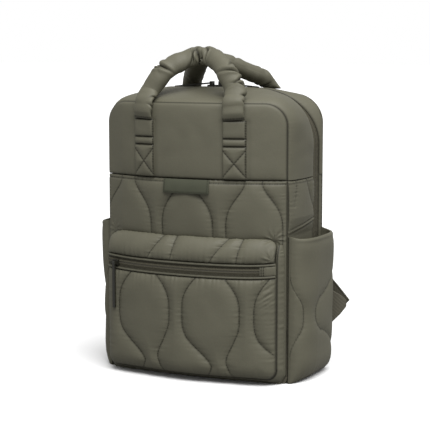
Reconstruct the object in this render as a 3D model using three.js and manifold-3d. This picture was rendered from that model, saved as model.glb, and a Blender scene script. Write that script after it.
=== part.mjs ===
// Quilted puffer backpack with two padded carrying handles, standing upright on its base.
// Millimetres, +Z up, the front faces -Y, +X is the right-hand side seen from the front.
// The origin is the middle of the flat base.

import * as THREE from 'three';
import { mergeVertices } from 'three/addons/utils/BufferGeometryUtils.js';
import Module from 'manifold-3d';

// Driving dimensions of the bag body
const WIDTH = 270;
const SIDE_DEPTH = 128;
const FRONT_TOP = 381;
const ZIP_TOP = 400;
const BACK_TOP = 392;
const CROSS_SEAM = 278;
const SEAM_BOW = 31;
const BASE_BOW = 11;
const ZIP_BOW = 40;
const ZIP_REAR = 15;
const ZIP_BAND = 24;
const FRONT_CORNER = 30;
const ZIP_CORNER = 72;
const BACK_CORNER = 50;
const BASE_CORNER = 12;
const WALL = 4;
const GAP = 0.35;
const STRIP_CROWN = 3;
const CORNER_CROWN = 6;
const CORNER_AT = 0.62;
const CORNER_SPREAD = 0.25;
const SIDE_BREAK = 150;
const CROWN_FADE = 24;
const PANEL_FOOT = 0.8;

// Quilting: padded bulbs with narrow necks, in columns across the cloth
const QUILT_PITCH = 95.5;
const QUILT_SHIFT = -3.5;
const BULB_HALF = 38.5;
const NECK_HALF = 11.5;
const QUILT_RISE = 69;
const PUFF = 6;
const YOKE_PUFF = 2.6;
const PUFF_SPREAD = 26;
const SEAM_PINCH = 9;

// Label
const LABEL_WIDTH = 69;
const LABEL_HEIGHT = 19;
const LABEL_THICK = 1.2;
const LABEL_SHIFT = -1.5;

// Front pocket
const POCKET_HALF = 128;
const POCKET_OUT = 22;
const POCKET_BOW = 20;
const POCKET_BOTTOM = 10;
const POCKET_TOP = 204;
const POCKET_ZIP_LOW = 146;
const POCKET_ZIP_HIGH = 166;
const POCKET_CORNER = 14;
const POCKET_BULB_AT = 95;
const POCKET_BULB_HALF = 41.5;
const POCKET_PITCH = 103;
const POCKET_SHIFT = -65;
const POCKET_SKEW = 12;
const SKEW_FROM = 60;
const SKEW_RISE = 30;
const POCKET_TURN_BACK = 3;
const BOXING_WALL = 3;
const BOXING_CROWN = 2;
const BOXING_CLEAR = 0.9;

// Its shelf: a bulb and a neck narrow towards the seam above
const SHELF_INSET = 3;
const SHELF_PUFF = 4.5;
const SHELF_PITCH = 96;
const SHELF_BULB = { half: 19, shift: -41 };
const SHELF_NECK = { half: 10, shift: -26.5 };

// Its zip
const BINDING_HEIGHT = 3.6;
const BINDING_OUT = 1.6;
const ZIP_TAPE_WALL = 1.6;
const ZIP_RECESS = 1.8;
const COIL_WIDTH = 6;
const COIL_OUT = 1.2;
const ZIP_END_WIDTH = 20;
const BINDING_WALL = 2;
const POCKET_TAPE_BACK = 3.2;

// Side pockets
const SIDE_POCKET_TOP = 203;
const SIDE_POCKET_OUT = 25;
const LEFT_POCKET_MORE = 5;
const RIM_SAG = 5;
const SIDE_POCKET_WALL = 3.5;
const SIDE_POCKET_FOOT = 3;
const SIDE_POCKET_SQUARE = 2.7;

// Handles
const HANDLE_HALF = 68;
const HANDLE_WIDTH = 29;
const HANDLE_THICK = 24;
const HANDLE_HEM = 359;
const HANDLE_RISE = 41;
const HANDLE_MEET = -38;
const PINCH_THICK = 11;
const PINCH_WIDE = 0.7;
const HANDLE_SIDES = 8;
const REAR_LEG_IN = 13;
const TAB_WIDTH = 32;
const TAB_THICK = 2.4;
const TAB_CLEAR = 0.5;

// Zip sliders and pulls
const SLIDER_LENGTH = 11;
const SLIDER_WIDTH = 8;
const SLIDER_THICK = 2.6;
const CHEEK_THICK = 1.2;
const CHEEK_HEIGHT = 5;
const CHEEK_LENGTH = 4.4;
const PIN_RADIUS = 0.8;
const PULL_WIDTH = 4.6;
const PULL_THICK = 2.2;
const EYE_RADIUS = 2.2;
const EYE_CLEARANCE = 0.4;
const POCKET_PULL_LENGTH = 64;
const TOP_PULL_LENGTH = 58;
const SLIDER_INSET = 14;
const TOP_SLIDER_X = 8;

// Carrying straps behind the bag
const PAD_OUT = 6;
const MARGIN = 24;
const PATCH_WIDTH = 150;
const PATCH_HEIGHT = 42;
const PATCH_THICK = 3;
const PATCH_TOP = 386;
const STRAP_WIDTH = 60;
const STRAP_THICK = 11;
const STRAP_OUT = 30;
const STRAP_FOOT = 155;
const STRAP_X = 44;
const STRAP_SPREAD = 34;
const WEB_WIDTH = 20;
const WEB_THICK = 1.8;
const BUCKLE_WIDTH = 30;
const BUCKLE_LENGTH = 24;
const BUCKLE_THICK = 4;
const BUCKLE_BAR = 3.5;
const BUCKLE_CLEAR = 2.75;
const WEB_BOW = 4;
const WING_LOW = 53;
const WING_HIGH = 113;
const WING_TIP_OUT = 33;
const WING_TIP_Z = 92;
const WING_TIP_BACK = 16;
const WING_THICK = 3;

// Places that follow from the sizes
const HALF = WIDTH / 2;
const FRONT_Y = -SIDE_DEPTH / 2;
const BACK_Y = SIDE_DEPTH / 2;
const SIDE_TOP = 300;
const HANDLE_PEAK = ZIP_TOP + HANDLE_RISE;
const REAR_LEG_Y = BACK_Y - REAR_LEG_IN;
const POCKET_SLIDER_X = SLIDER_INSET - POCKET_HALF;
const WING_TIP_X = HALF + WING_TIP_OUT;
const WING_TIP_Y = BACK_Y + WING_TIP_BACK;

const wasm = await Module();
wasm.setup();

// Materials

const cloth = { color: 0x6b685b, roughness: 0.62, metalness: 0 };
const shadeCloth = { color: 0x5f5c4e, roughness: 0.66, metalness: 0 };
const zipCloth = { color: 0x524f45, roughness: 0.8, metalness: 0 };
const coilPlastic = { color: 0x45433a, roughness: 0.5, metalness: 0 };
const labelCloth = { color: 0x4a4e3f, roughness: 0.85, metalness: 0 };
const paintedMetal = { color: 0x4b483d, roughness: 0.4, metalness: 0.6 };
const webbingYarn = { color: 0x545246, roughness: 0.85, metalness: 0 };
const buckleResin = { color: 0x3f3d34, roughness: 0.45, metalness: 0 };

const bag = new THREE.Group();

function addPiece(name, geometry, finish, parent = bag) {
  const mesh = new THREE.Mesh(geometry, new THREE.MeshStandardMaterial(finish));
  mesh.name = name;
  parent.add(mesh);
  return mesh;
}

// Small tools

const clamp = (value, low, high) => Math.min(high, Math.max(low, value));
const mix = (a, b, share) => a + (b - a) * share;
const steps = (from, to, count) => Array.from({ length: count + 1 }, (_, i) => mix(from, to, i / count));
const v3 = (x, y, z) => new THREE.Vector3(x, y, z);

// Smooth value of a column of a table at a given key, read along straight stretches
function readTable(table, key, column, at) {
  let row = 0;
  while (row < table.length - 2 && at > table[row + 1][key]) row += 1;
  const a = table[row];
  const b = table[row + 1];
  const share = clamp((at - a[key]) / (b[key] - a[key]), 0, 1);
  return mix(a[column], b[column], share);
}

// Signed volume, to turn a closed mesh so that its faces point out
function signedVolume(positions, faces) {
  let sum = 0;
  const corner = (i) => v3(positions[3 * i], positions[3 * i + 1], positions[3 * i + 2]);
  for (let f = 0; f < faces.length; f += 3) {
    sum += corner(faces[f]).dot(corner(faces[f + 1]).cross(corner(faces[f + 2])));
  }
  return sum;
}

function closedMesh(points, faces) {
  const positions = points.flatMap((p) => [p.x, p.y, p.z]);
  const outward = signedVolume(positions, faces) > 0;
  const turned = outward ? faces : faces.map((_, k) => faces[k - (k % 3) + [0, 2, 1][k % 3]]);
  const geometry = new THREE.BufferGeometry();
  geometry.setAttribute('position', new THREE.Float32BufferAttribute(positions, 3));
  geometry.setIndex(turned);
  return geometry;
}

// A sheet with a real thickness: an outer and an inner grid of points, closed round its four edges
function sheet(outer, inner) {
  const rows = outer.length;
  const cols = outer[0].length;
  const points = [...outer.flat(), ...inner.flat()];
  const at = (side, i, j) => side * rows * cols + i * cols + j;
  const faces = [];
  const quad = (a, b, c, d) => faces.push(a, b, c, a, c, d);
  for (let i = 0; i < rows - 1; i += 1) {
    for (let j = 0; j < cols - 1; j += 1) {
      quad(at(0, i, j), at(0, i, j + 1), at(0, i + 1, j + 1), at(0, i + 1, j));
      quad(at(1, i, j), at(1, i + 1, j), at(1, i + 1, j + 1), at(1, i, j + 1));
    }
    quad(at(0, i, 0), at(0, i + 1, 0), at(1, i + 1, 0), at(1, i, 0));
    quad(at(0, i, cols - 1), at(1, i, cols - 1), at(1, i + 1, cols - 1), at(0, i + 1, cols - 1));
  }
  for (let j = 0; j < cols - 1; j += 1) {
    quad(at(0, 0, j), at(1, 0, j), at(1, 0, j + 1), at(0, 0, j + 1));
    quad(at(0, rows - 1, j), at(0, rows - 1, j + 1), at(1, rows - 1, j + 1), at(1, rows - 1, j));
  }
  return closedMesh(points, faces);
}

// A solid through a row of closed rings, with a flat cap at each end
function rings(list) {
  const count = list.length;
  const sides = list[0].length;
  const points = [...list.flat()];
  const faces = [];
  for (let i = 0; i < count - 1; i += 1) {
    for (let j = 0; j < sides; j += 1) {
      const k = (j + 1) % sides;
      const [a, b, c, d] = [i * sides + j, i * sides + k, (i + 1) * sides + k, (i + 1) * sides + j];
      faces.push(a, b, c, a, c, d);
    }
  }
  for (let j = 1; j < sides - 1; j += 1) {
    faces.push(0, j + 1, j);
    faces.push((count - 1) * sides, (count - 1) * sides + j, (count - 1) * sides + j + 1);
  }
  return closedMesh(points, faces);
}

// Joins closed geometries into one body
function weld(parts) {
  const solids = parts.map((part) => {
    const bare = part.clone();
    bare.deleteAttribute('normal');
    bare.deleteAttribute('uv');
    const merged = mergeVertices(bare, 1e-4);
    const mesh = new wasm.Mesh({
      numProp: 3,
      vertProperties: new Float32Array(merged.attributes.position.array),
      triVerts: new Uint32Array(merged.index.array),
    });
    return new wasm.Manifold(mesh);
  });
  const body = solids.slice(1).reduce((sum, next) => sum.add(next), solids[0]).getMesh();
  const geometry = new THREE.BufferGeometry();
  geometry.setAttribute('position', new THREE.Float32BufferAttribute(body.vertProperties, 3));
  geometry.setIndex(Array.from(body.triVerts));
  return geometry;
}

// The bag's outline in the XZ plane. q runs from 0 at the top middle to 1 at SIDE_TOP on the side
// and to 2 at the floor; its sign is the side.

const stations = {
  front: { half: HALF, top: FRONT_TOP, dome: 0.5, corner: FRONT_CORNER },
  zipFront: { half: HALF - 0.5, top: ZIP_TOP, dome: 6, corner: ZIP_CORNER },
  zipRear: { half: HALF - 0.5, top: ZIP_TOP, dome: 6, corner: ZIP_CORNER },
  back: { half: HALF - 1, top: BACK_TOP, dome: 4, corner: BACK_CORNER },
};

function outline(station, q) {
  const { half, top, dome, corner } = station;
  const side = Math.sign(q) || 1;
  const far = Math.abs(q);
  if (far >= 1) {
    const z = SIDE_TOP * (2 - far);
    const dip = clamp(BASE_CORNER - z, 0, BASE_CORNER);
    return { x: side * (half - BASE_CORNER + Math.sqrt(BASE_CORNER ** 2 - dip ** 2)), z };
  }
  const rise = top - dome - corner - SIDE_TOP;
  const arc = (Math.PI / 2) * corner;
  const flat = half - corner;
  const run = (1 - far) * (rise + arc + flat);
  if (run <= rise) return { x: side * half, z: SIDE_TOP + run };
  const turn = Math.min((run - rise) / corner, Math.PI / 2);
  const past = Math.max(0, run - rise - arc);
  const x = flat + corner * Math.cos(turn) - past;
  return { x: side * x, z: top - dome * (x / half) ** 2 - corner * (1 - Math.sin(turn)) };
}

function outlineNormal(station, q) {
  const a = outline(station, q - 0.004);
  const b = outline(station, q + 0.004);
  return v3(-(b.z - a.z), 0, b.x - a.x).normalize();
}

const qAtHeight = (z) => 2 - z / SIDE_TOP;

// Depth of the seams, which bow forward in plan
const bowAt = (x) => 1 - (x / HALF) ** 2;
const bowDepth = (z) => mix(BASE_BOW, SEAM_BOW, clamp(z / CROSS_SEAM, 0, 1));
const frontY = (x, z) => FRONT_Y - bowDepth(z) * bowAt(x);
const zipY = (x) => BACK_Y - ZIP_REAR - ZIP_BAND / 2 - ZIP_BOW * bowAt(x);

const seamY = {
  front: (p) => frontY(p.x, p.z) + WALL + GAP,
  zipFront: (p) => zipY(p.x) - ZIP_BAND / 2,
  zipRear: (p) => zipY(p.x) + ZIP_BAND / 2,
  back: () => BACK_Y - WALL - GAP,
};

// A point of the boxing strip between two seams
function stripPoint(from, to, q, share, lift) {
  const a = outline(stations[from], q);
  const b = outline(stations[to], q);
  const normal = outlineNormal(stations[from], q).lerp(outlineNormal(stations[to], q), share).normalize();
  const point = v3(mix(a.x, b.x, share), mix(seamY[from](a), seamY[to](b), share), mix(a.z, b.z, share));
  return point.addScaledVector(normal, lift);
}

// The strips bulge a little between their seams
const stripShape = [
  { share: 0, crown: 0 },
  { share: 0.1, crown: 0.62 },
  { share: 0.35, crown: 1 },
  { share: 0.7, crown: 1 },
  { share: 0.9, crown: 0.7 },
  { share: 1, crown: 0.15 },
];

function strip(from, to, qs, crownAt) {
  const build = (offset) => qs.map((q) => stripShape.map((row) => {
    const lift = offset < 0 ? offset : crownAt(q) * row.crown;
    return stripPoint(from, to, q, row.share, lift);
  }));
  return sheet(build(0), build(-WALL));
}

// Quilting: half width of a bulb at a distance above or below its widest place
const bulbShape = [
  { away: 0, half: 1 },
  { away: 0.15, half: 0.985 },
  { away: 0.3, half: 0.92 },
  { away: 0.5, half: 0.76 },
  { away: 0.66, half: 0.46 },
  { away: 0.82, half: 0.14 },
  { away: 1, half: 0 },
];

function bulbHalf(z, widest, bulb, neck) {
  const cycle = Math.abs(((z - widest) / QUILT_RISE + 1) % 2 - 1);
  const away = Math.abs(cycle) > 1 ? 2 - Math.abs(cycle) : Math.abs(cycle);
  return mix(neck, bulb, readTable(bulbShape, 'away', 'half', away));
}

// Stitch lines across a quilted cloth at one height, with the cloth's two edges at the ends
function stitchLines(half, shift, pitch, reach, bulbs = [-1, 0, 1]) {
  const lines = bulbs.flatMap((k) => [shift + k * pitch - half, shift + k * pitch + half]);
  const kept = lines.map((x, i) => clamp(x, -reach + 1 + i * 0.1, reach - 1 - (lines.length - i) * 0.1));
  return [-reach, ...kept, reach];
}

// Columns of a quilted cloth: the stitch lines, and three puffed columns between each two
const puffShape = [
  { share: 0, puff: 0 },
  { share: 0.18, puff: 0.72 },
  { share: 0.5, puff: 1 },
  { share: 0.82, puff: 0.72 },
];

function quiltColumns(lines) {
  const columns = [];
  for (let k = 0; k < lines.length - 1; k += 1) {
    const width = lines[k + 1] - lines[k];
    const height = PUFF * (1 - Math.exp(-width / PUFF_SPREAD));
    puffShape.forEach((row) => columns.push({ x: lines[k] + row.share * width, puff: row.puff * height }));
  }
  columns.push({ x: lines.at(-1), puff: 0 });
  return columns;
}

// The cloth is pinched flat at a seam across it
const pinch = (distance) => 1 - Math.exp(-Math.max(0, distance) / SEAM_PINCH);

// Half width of a front or back panel at a height, with round corners
function panelHalf(station, z) {
  const { half, top, dome, corner } = station;
  const rise = clamp(z - (top - corner), 0, corner);
  const dip = clamp(BASE_CORNER - z, 0, BASE_CORNER);
  const upper = half - corner + Math.sqrt(corner ** 2 - rise ** 2);
  const lower = half - BASE_CORNER + Math.sqrt(BASE_CORNER ** 2 - dip ** 2);
  return Math.min(upper, lower, half + dome);
}

function domeDrop(station, x, z) {
  const share = clamp((z - SIDE_TOP) / (station.top - SIDE_TOP), 0, 1);
  return station.dome * share * (x / station.half) ** 2;
}

// Bag body: front

const cornerHeights = (station) => steps(0, 1, 5).map((s) => {
  return station.top - station.corner * (1 - Math.sin((s * Math.PI) / 2));
});

const yokePuff = (x, z) => {
  const reach = panelHalf(stations.front, z);
  const edge = pinch((reach - Math.abs(x)) * 1.2);
  return YOKE_PUFF * edge * pinch(z - CROSS_SEAM) * pinch(FRONT_TOP - z);
};

const yokeSurface = (x, z) => frontY(x, z) - yokePuff(x, z);

function frontYoke() {
  const station = stations.front;
  const middle = [0.41, 0.553].map((share) => mix(CROSS_SEAM, FRONT_TOP, share));
  const heights = [CROSS_SEAM + GAP, CROSS_SEAM + 7, CROSS_SEAM + 22, ...middle, ...cornerHeights(station)];
  const shares = [-1, -0.965, ...steps(-0.87, 0.87, 12), 0.965, 1];
  const grid = (y) => heights.map((z) => shares.map((share) => {
    const x = share * panelHalf(station, z);
    return v3(x, y(x, z), z - domeDrop(station, x, z));
  }));
  addPiece('front_yoke', sheet(grid(yokeSurface), grid((x, z) => frontY(x, z) + WALL)), cloth);
}

const quiltBulbAt = CROSS_SEAM - QUILT_RISE - 2;

function frontPuffShare(z) {
  return pinch(CROSS_SEAM - z) * pinch(z - POCKET_TOP);
}

function frontQuiltedPanel() {
  const station = stations.front;
  const top = CROSS_SEAM - GAP;
  const heights = [top, top - 6, top - 16, top - 27, top - 38, top - 52, top - 66, POCKET_TOP,
    BASE_CORNER, 5, PANEL_FOOT];
  const rows = heights.map((z) => {
    const reach = panelHalf(station, z);
    const read = z > POCKET_TOP ? z : POCKET_TOP;
    const half = bulbHalf(read, quiltBulbAt, BULB_HALF, NECK_HALF);
    return { z, columns: quiltColumns(stitchLines(half, QUILT_SHIFT, QUILT_PITCH, reach)) };
  });
  const grid = (y) => rows.map(({ z, columns }) => columns.map((c) => v3(c.x, y(c, z), z)));
  const outer = grid((c, z) => frontY(c.x, z) - c.puff * frontPuffShare(z));
  const inner = grid((c, z) => frontY(c.x, z) + WALL);
  addPiece('front_quilted_panel', sheet(outer, inner), cloth);
}

function label() {
  const top = CROSS_SEAM - 0.5;
  const heights = [top, top - 6, top - LABEL_HEIGHT];
  const grid = (out) => heights.map((z) => steps(-LABEL_WIDTH / 2, LABEL_WIDTH / 2, 6).map((along) => {
    const x = along + LABEL_SHIFT;
    return v3(x, frontY(x, z) - PUFF * pinch(CROSS_SEAM - z) - GAP - out, z);
  }));
  addPiece('label_patch', sheet(grid(LABEL_THICK), grid(0)), labelCloth);
}

// Bag body: strips, zip, side walls, base and back

// Stops along the outline from the top middle down to SIDE_TOP, closest round the corners
const halfStops = [0, 0.11, 0.22, 0.33, 0.42, 0.5, 0.57, 0.64, 0.71, 0.78, 0.87, 1];

function hoopStops(...below) {
  const half = [...halfStops, ...below.map(qAtHeight)];
  return [...half.slice(1).reverse().map((q) => -q), ...half];
}

const upperQs = hoopStops(CROSS_SEAM + GAP);

function topStrips() {
  // The cloth swells most round the upper corners
  const swell = (q) => {
    const away = (Math.abs(q) - CORNER_AT) / CORNER_SPREAD;
    return STRIP_CROWN + 1 + CORNER_CROWN * Math.exp(-(away ** 2));
  };
  addPiece('top_gusset_front', strip('front', 'zipFront', upperQs, swell), cloth);
  addPiece('top_gusset_rear', strip('zipRear', 'back', upperQs, () => STRIP_CROWN), cloth);
}

function sideStrips(name, side) {
  const shown = [0.7, 0.467, 0.227, 0.013].map((share) => mix(SIDE_POCKET_TOP, CROSS_SEAM, share));
  const hidden = mix(SIDE_BREAK, SIDE_POCKET_TOP, 0.566);
  const heights = [CROSS_SEAM - GAP, CROSS_SEAM - 8, ...shown, hidden, SIDE_BREAK + GAP];
  const qs = heights.map((z) => side * qAtHeight(z));
  const heightOf = (q) => SIDE_TOP * (2 - Math.abs(q));
  const free = (q) => clamp((heightOf(q) - SIDE_POCKET_TOP - 1) / CROWN_FADE, 0, 1);
  const puff = (q) => free(q) * (STRIP_CROWN + 2 * pinch(CROSS_SEAM - heightOf(q)));
  const front = strip('front', 'zipFront', qs, puff);
  const rear = strip('zipRear', 'back', qs, (q) => 2 * free(q));
  addPiece(`side_strip_front_${name}`, front, cloth);
  addPiece(`side_strip_rear_${name}`, rear, cloth);
}

function mainZip() {
  const qs = hoopStops(CROSS_SEAM, mix(SIDE_BREAK, CROSS_SEAM, 0.508), SIDE_BREAK + GAP);
  const band = (edge, lift) => qs.map((q) => [edge, 1 - edge].map((share) => {
    return stripPoint('zipFront', 'zipRear', q, share, lift);
  }));
  const tapeEdge = GAP / ZIP_BAND;
  const tape = sheet(band(tapeEdge, -ZIP_RECESS), band(tapeEdge, -ZIP_RECESS - ZIP_TAPE_WALL));
  const coilEdge = 0.5 - COIL_WIDTH / 2 / ZIP_BAND;
  const coilLow = -ZIP_RECESS + GAP;
  addPiece('main_zip_tape', tape, zipCloth);
  addPiece('main_zip_coil', sheet(band(coilEdge, coilLow + COIL_OUT), band(coilEdge, coilLow)), coilPlastic);
}

function sideWall(name, side) {
  const middle = [0.636, 0.275].map((share) => mix(BASE_CORNER, SIDE_BREAK, share));
  const heights = [SIDE_BREAK - GAP, ...middle, BASE_CORNER + GAP];
  const grid = (lift) => heights.map((z) => steps(0, 1, 3).map((share) => {
    return stripPoint('front', 'back', side * qAtHeight(z), share, lift);
  }));
  addPiece(`side_panel_${name}`, sheet(grid(0), grid(-WALL)), shadeCloth);
}

function basePanel() {
  const corner = steps(0, 1, 3).map((s) => qAtHeight(BASE_CORNER * (1 - Math.sin((s * Math.PI) / 2))));
  const across = (lift, share) => {
    const rounded = (side) => corner.map((q) => {
      const a = outline(stations.front, side * q);
      const normal = v3(a.x - side * (HALF - BASE_CORNER), 0, a.z - BASE_CORNER).normalize();
      const y = mix(frontY(a.x, 0) + WALL + GAP, BACK_Y - WALL - GAP, share);
      return v3(a.x + normal.x * lift, y, a.z + normal.z * lift);
    });
    const middle = steps(-0.75, 0.75, 5).map((s) => {
      const x = s * (HALF - BASE_CORNER);
      return v3(x, mix(frontY(x, 0) + WALL + GAP, BACK_Y - WALL - GAP, share), -lift);
    });
    return [...rounded(-1), ...middle, ...rounded(1).reverse()];
  };
  const grid = (lift) => [0, 1].map((share) => across(lift, share));
  addPiece('base_panel', sheet(grid(0), grid(-WALL)), shadeCloth);
}

// Padding of the back panel: two long pads with a channel between them, inside a flat margin
const backPads = [
  { share: -1, pad: 0 },
  { share: -0.82, pad: 0 },
  { share: -0.7, pad: 0.85 },
  { share: -0.42, pad: 1 },
  { share: -0.14, pad: 0.85 },
  { share: -0.03, pad: 0 },
  { share: 0.03, pad: 0 },
  { share: 0.14, pad: 0.85 },
  { share: 0.42, pad: 1 },
  { share: 0.7, pad: 0.85 },
  { share: 0.82, pad: 0 },
  { share: 1, pad: 0 },
];

function backPanel() {
  const station = stations.back;
  const low = [PANEL_FOOT, 4, BASE_CORNER, MARGIN, MARGIN + 14];
  const padTop = PATCH_TOP - PATCH_HEIGHT - 4;
  const high = [mix(MARGIN, padTop, 0.5), padTop - 14, padTop, ...cornerHeights(station)];
  const flat = (z) => (z <= MARGIN || z >= padTop ? 0 : z < MARGIN + 20 || z > padTop - 20 ? 0.85 : 1);
  const grid = (out) => [...low, ...high].map((z) => backPads.map((row) => {
    const x = row.share * panelHalf(station, z);
    return v3(x, BACK_Y - out + (out ? 0 : PAD_OUT * row.pad * flat(z)), z - domeDrop(station, x, z));
  }));
  addPiece('back_panel', sheet(grid(0), grid(WALL)), shadeCloth);
}

// Front pocket. out is the share of the pocket's depth at a height; the shelf curves back to the panel.
const pocketSection = [
  { z: POCKET_BOTTOM, out: 0.86 },
  { z: POCKET_BOTTOM + 8, out: 0.95 },
  { z: POCKET_BOTTOM + 22, out: 1 },
  { z: POCKET_ZIP_HIGH, out: 1 },
  { z: POCKET_ZIP_HIGH + 8, out: 0.96 },
  { z: POCKET_ZIP_HIGH + 17, out: 0.84 },
  { z: POCKET_ZIP_HIGH + 25, out: 0.66 },
  { z: POCKET_TOP - 6, out: 0.44 },
  { z: POCKET_TOP, out: 0.14 },
];

const pocketFront = (x) => FRONT_Y - POCKET_OUT - POCKET_BOW * (1 - (x / POCKET_HALF) ** 2);

function pocketY(x, z, inward = 0) {
  const out = readTable(pocketSection, 'z', 'out', z);
  const panel = frontY(x, z);
  return Math.min(mix(panel, pocketFront(x), out) + inward, panel - GAP);
}

// The face's edges turn back a little, and it is pinched at its seams
const pocketEdge = (x) => POCKET_TURN_BACK * (1 - pinch((POCKET_HALF - Math.abs(x)) * 1.6));

function pocketRow(z, skew) {
  const half = bulbHalf(z, POCKET_BULB_AT, POCKET_BULB_HALF, NECK_HALF);
  const lines = stitchLines(half, POCKET_SHIFT + skew, POCKET_PITCH, POCKET_HALF, [0, 1, 2]);
  return quiltColumns(lines);
}

function pocketFace() {
  const top = POCKET_ZIP_LOW - GAP;
  const shares = [0.75, 0.62, 0.485, 0.37, 0.265, 0.16, 0.075];
  const middle = shares.map((share) => mix(POCKET_BOTTOM, POCKET_ZIP_LOW, share));
  const heights = [top, top - 6, top - 18, ...middle, POCKET_BOTTOM];
  const rows = heights.map((z) => {
    const skew = POCKET_SKEW * clamp((SKEW_FROM - z) / SKEW_RISE, 0, 1);
    return { z, columns: pocketRow(z, skew) };
  });
  const grid = (y) => rows.map(({ z, columns }) => columns.map((c) => v3(c.x, y(c, z), z)));
  const puffed = (c, z) => c.puff * pinch(top - z) * pinch(z - POCKET_BOTTOM + 3);
  const outer = grid((c, z) => pocketY(c.x, z) - puffed(c, z) + pocketEdge(c.x));
  const inner = grid((c, z) => pocketY(c.x, z, WALL) + pocketEdge(c.x));
  addPiece('pocket_face', sheet(outer, inner), cloth);
}

function pocketShelf() {
  const low = POCKET_ZIP_HIGH + GAP;
  const heights = [low, low + 5, low + 12, low + 19, low + 25, low + 30, low + 34, POCKET_TOP];
  const reach = POCKET_HALF - SHELF_INSET;
  const round = (z) => {
    const share = clamp((z - POCKET_TOP + POCKET_CORNER) / POCKET_CORNER, 0, 1);
    return reach - POCKET_CORNER * (1 - Math.sqrt(1 - share ** 2));
  };
  const columnsAt = (z) => {
    const narrow = clamp((z - POCKET_ZIP_HIGH) / (POCKET_TOP - POCKET_ZIP_HIGH), 0, 1);
    const half = mix(SHELF_BULB.half, SHELF_NECK.half, narrow);
    const shift = mix(SHELF_BULB.shift, SHELF_NECK.shift, narrow);
    return quiltColumns(stitchLines(half, shift, SHELF_PITCH, round(z), [0, 1]));
  };
  const section = (x, z, inward) => {
    const ahead = v3(x, pocketY(x, z + 0.5), z + 0.5);
    const behind = v3(x, pocketY(x, z - 0.5), z - 0.5);
    const normal = v3(0, -(ahead.z - behind.z), ahead.y - behind.y).normalize();
    const p = v3(x, pocketY(x, z), z).addScaledVector(normal, -inward);
    p.y = Math.min(p.y, frontY(x, p.z) - GAP);
    p.z = Math.max(p.z, low);
    return p;
  };
  const edge = (x) => pinch((reach - Math.abs(x)) * 1.3);
  const outer = heights.map((z) => columnsAt(z).map((c) => {
    const p = section(c.x, z, 0);
    const puff = (c.puff / PUFF) * SHELF_PUFF * pinch(z - low) * pinch((POCKET_TOP - z) * 1.5) * edge(c.x);
    p.z += puff * 0.7 - (1 - edge(c.x)) * 2 * pinch((z - low) * 0.4);
    p.y -= puff * 0.7;
    return p;
  }));
  const inner = heights.map((z) => columnsAt(z).map((c) => {
    const p = section(c.x, z, WALL * 0.8);
    p.z -= (1 - edge(c.x)) * 2 * pinch((z - low) * 0.4);
    p.z = Math.max(p.z, low);
    return p;
  }));
  addPiece('pocket_shelf', sheet(outer, inner), cloth);
}

// The pocket's boxing: down one side, under the bottom and up the other
function pocketBoxing() {
  const half = POCKET_HALF;
  const low = POCKET_BOTTOM - 1;
  const foot = low + POCKET_CORNER;
  const middle = [0.678, 0.329].map((share) => mix(foot, POCKET_ZIP_HIGH, share));
  const sideHeights = [POCKET_TOP - 16, POCKET_ZIP_HIGH, ...middle, foot];
  const turn = steps(0, 1, 4).slice(1, -1).map((s) => (s * Math.PI) / 2);
  const flat = steps(-1, 1, 6).map((s) => s * (half - POCKET_CORNER));
  const path = [
    ...sideHeights.map((z) => ({ x: -half, z, nx: -1, nz: 0 })),
    ...turn.map((a) => ({
      x: -half + POCKET_CORNER * (1 - Math.cos(a)),
      z: low + POCKET_CORNER * (1 - Math.sin(a)),
      nx: -Math.cos(a),
      nz: -Math.sin(a),
    })),
    ...flat.map((x) => ({ x, z: low, nx: 0, nz: -1 })),
    ...[...turn].reverse().map((a) => ({
      x: half - POCKET_CORNER * (1 - Math.cos(a)),
      z: low + POCKET_CORNER * (1 - Math.sin(a)),
      nx: Math.cos(a),
      nz: -Math.sin(a),
    })),
    ...[...sideHeights].reverse().map((z) => ({ x: half, z, nx: 1, nz: 0 })),
  ];
  const grid = (lift) => path.map((p) => [0, 0.25, 0.75, 1].map((share) => {
    const out = (lift ? 0 : BOXING_CROWN * Math.sin(Math.PI * share)) - lift;
    const x = p.x + p.nx * out;
    const z = p.z + p.nz * out;
    const start = pocketY(x, Math.max(z, POCKET_BOTTOM), WALL) + pocketEdge(x) + BOXING_CLEAR;
    return v3(x, mix(start, frontY(x, z) - 2 * GAP, share), z);
  }));
  addPiece('pocket_boxing', sheet(grid(0), grid(BOXING_WALL)), shadeCloth);
}

// A band across the pocket's front between two heights
function pocketBand(low, high, from, to, outAt, wall) {
  const xs = steps(from, to, 12);
  const grid = (inner) => [0, 0.5, 1].map((share) => xs.map((x) => {
    const z = mix(low, high, share);
    const y = pocketY(x, z) + pocketEdge(x) - outAt(share);
    return v3(x, inner ? pocketY(x, z) + pocketEdge(x) + wall : y, z);
  }));
  return sheet(grid(false), grid(true));
}

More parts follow.
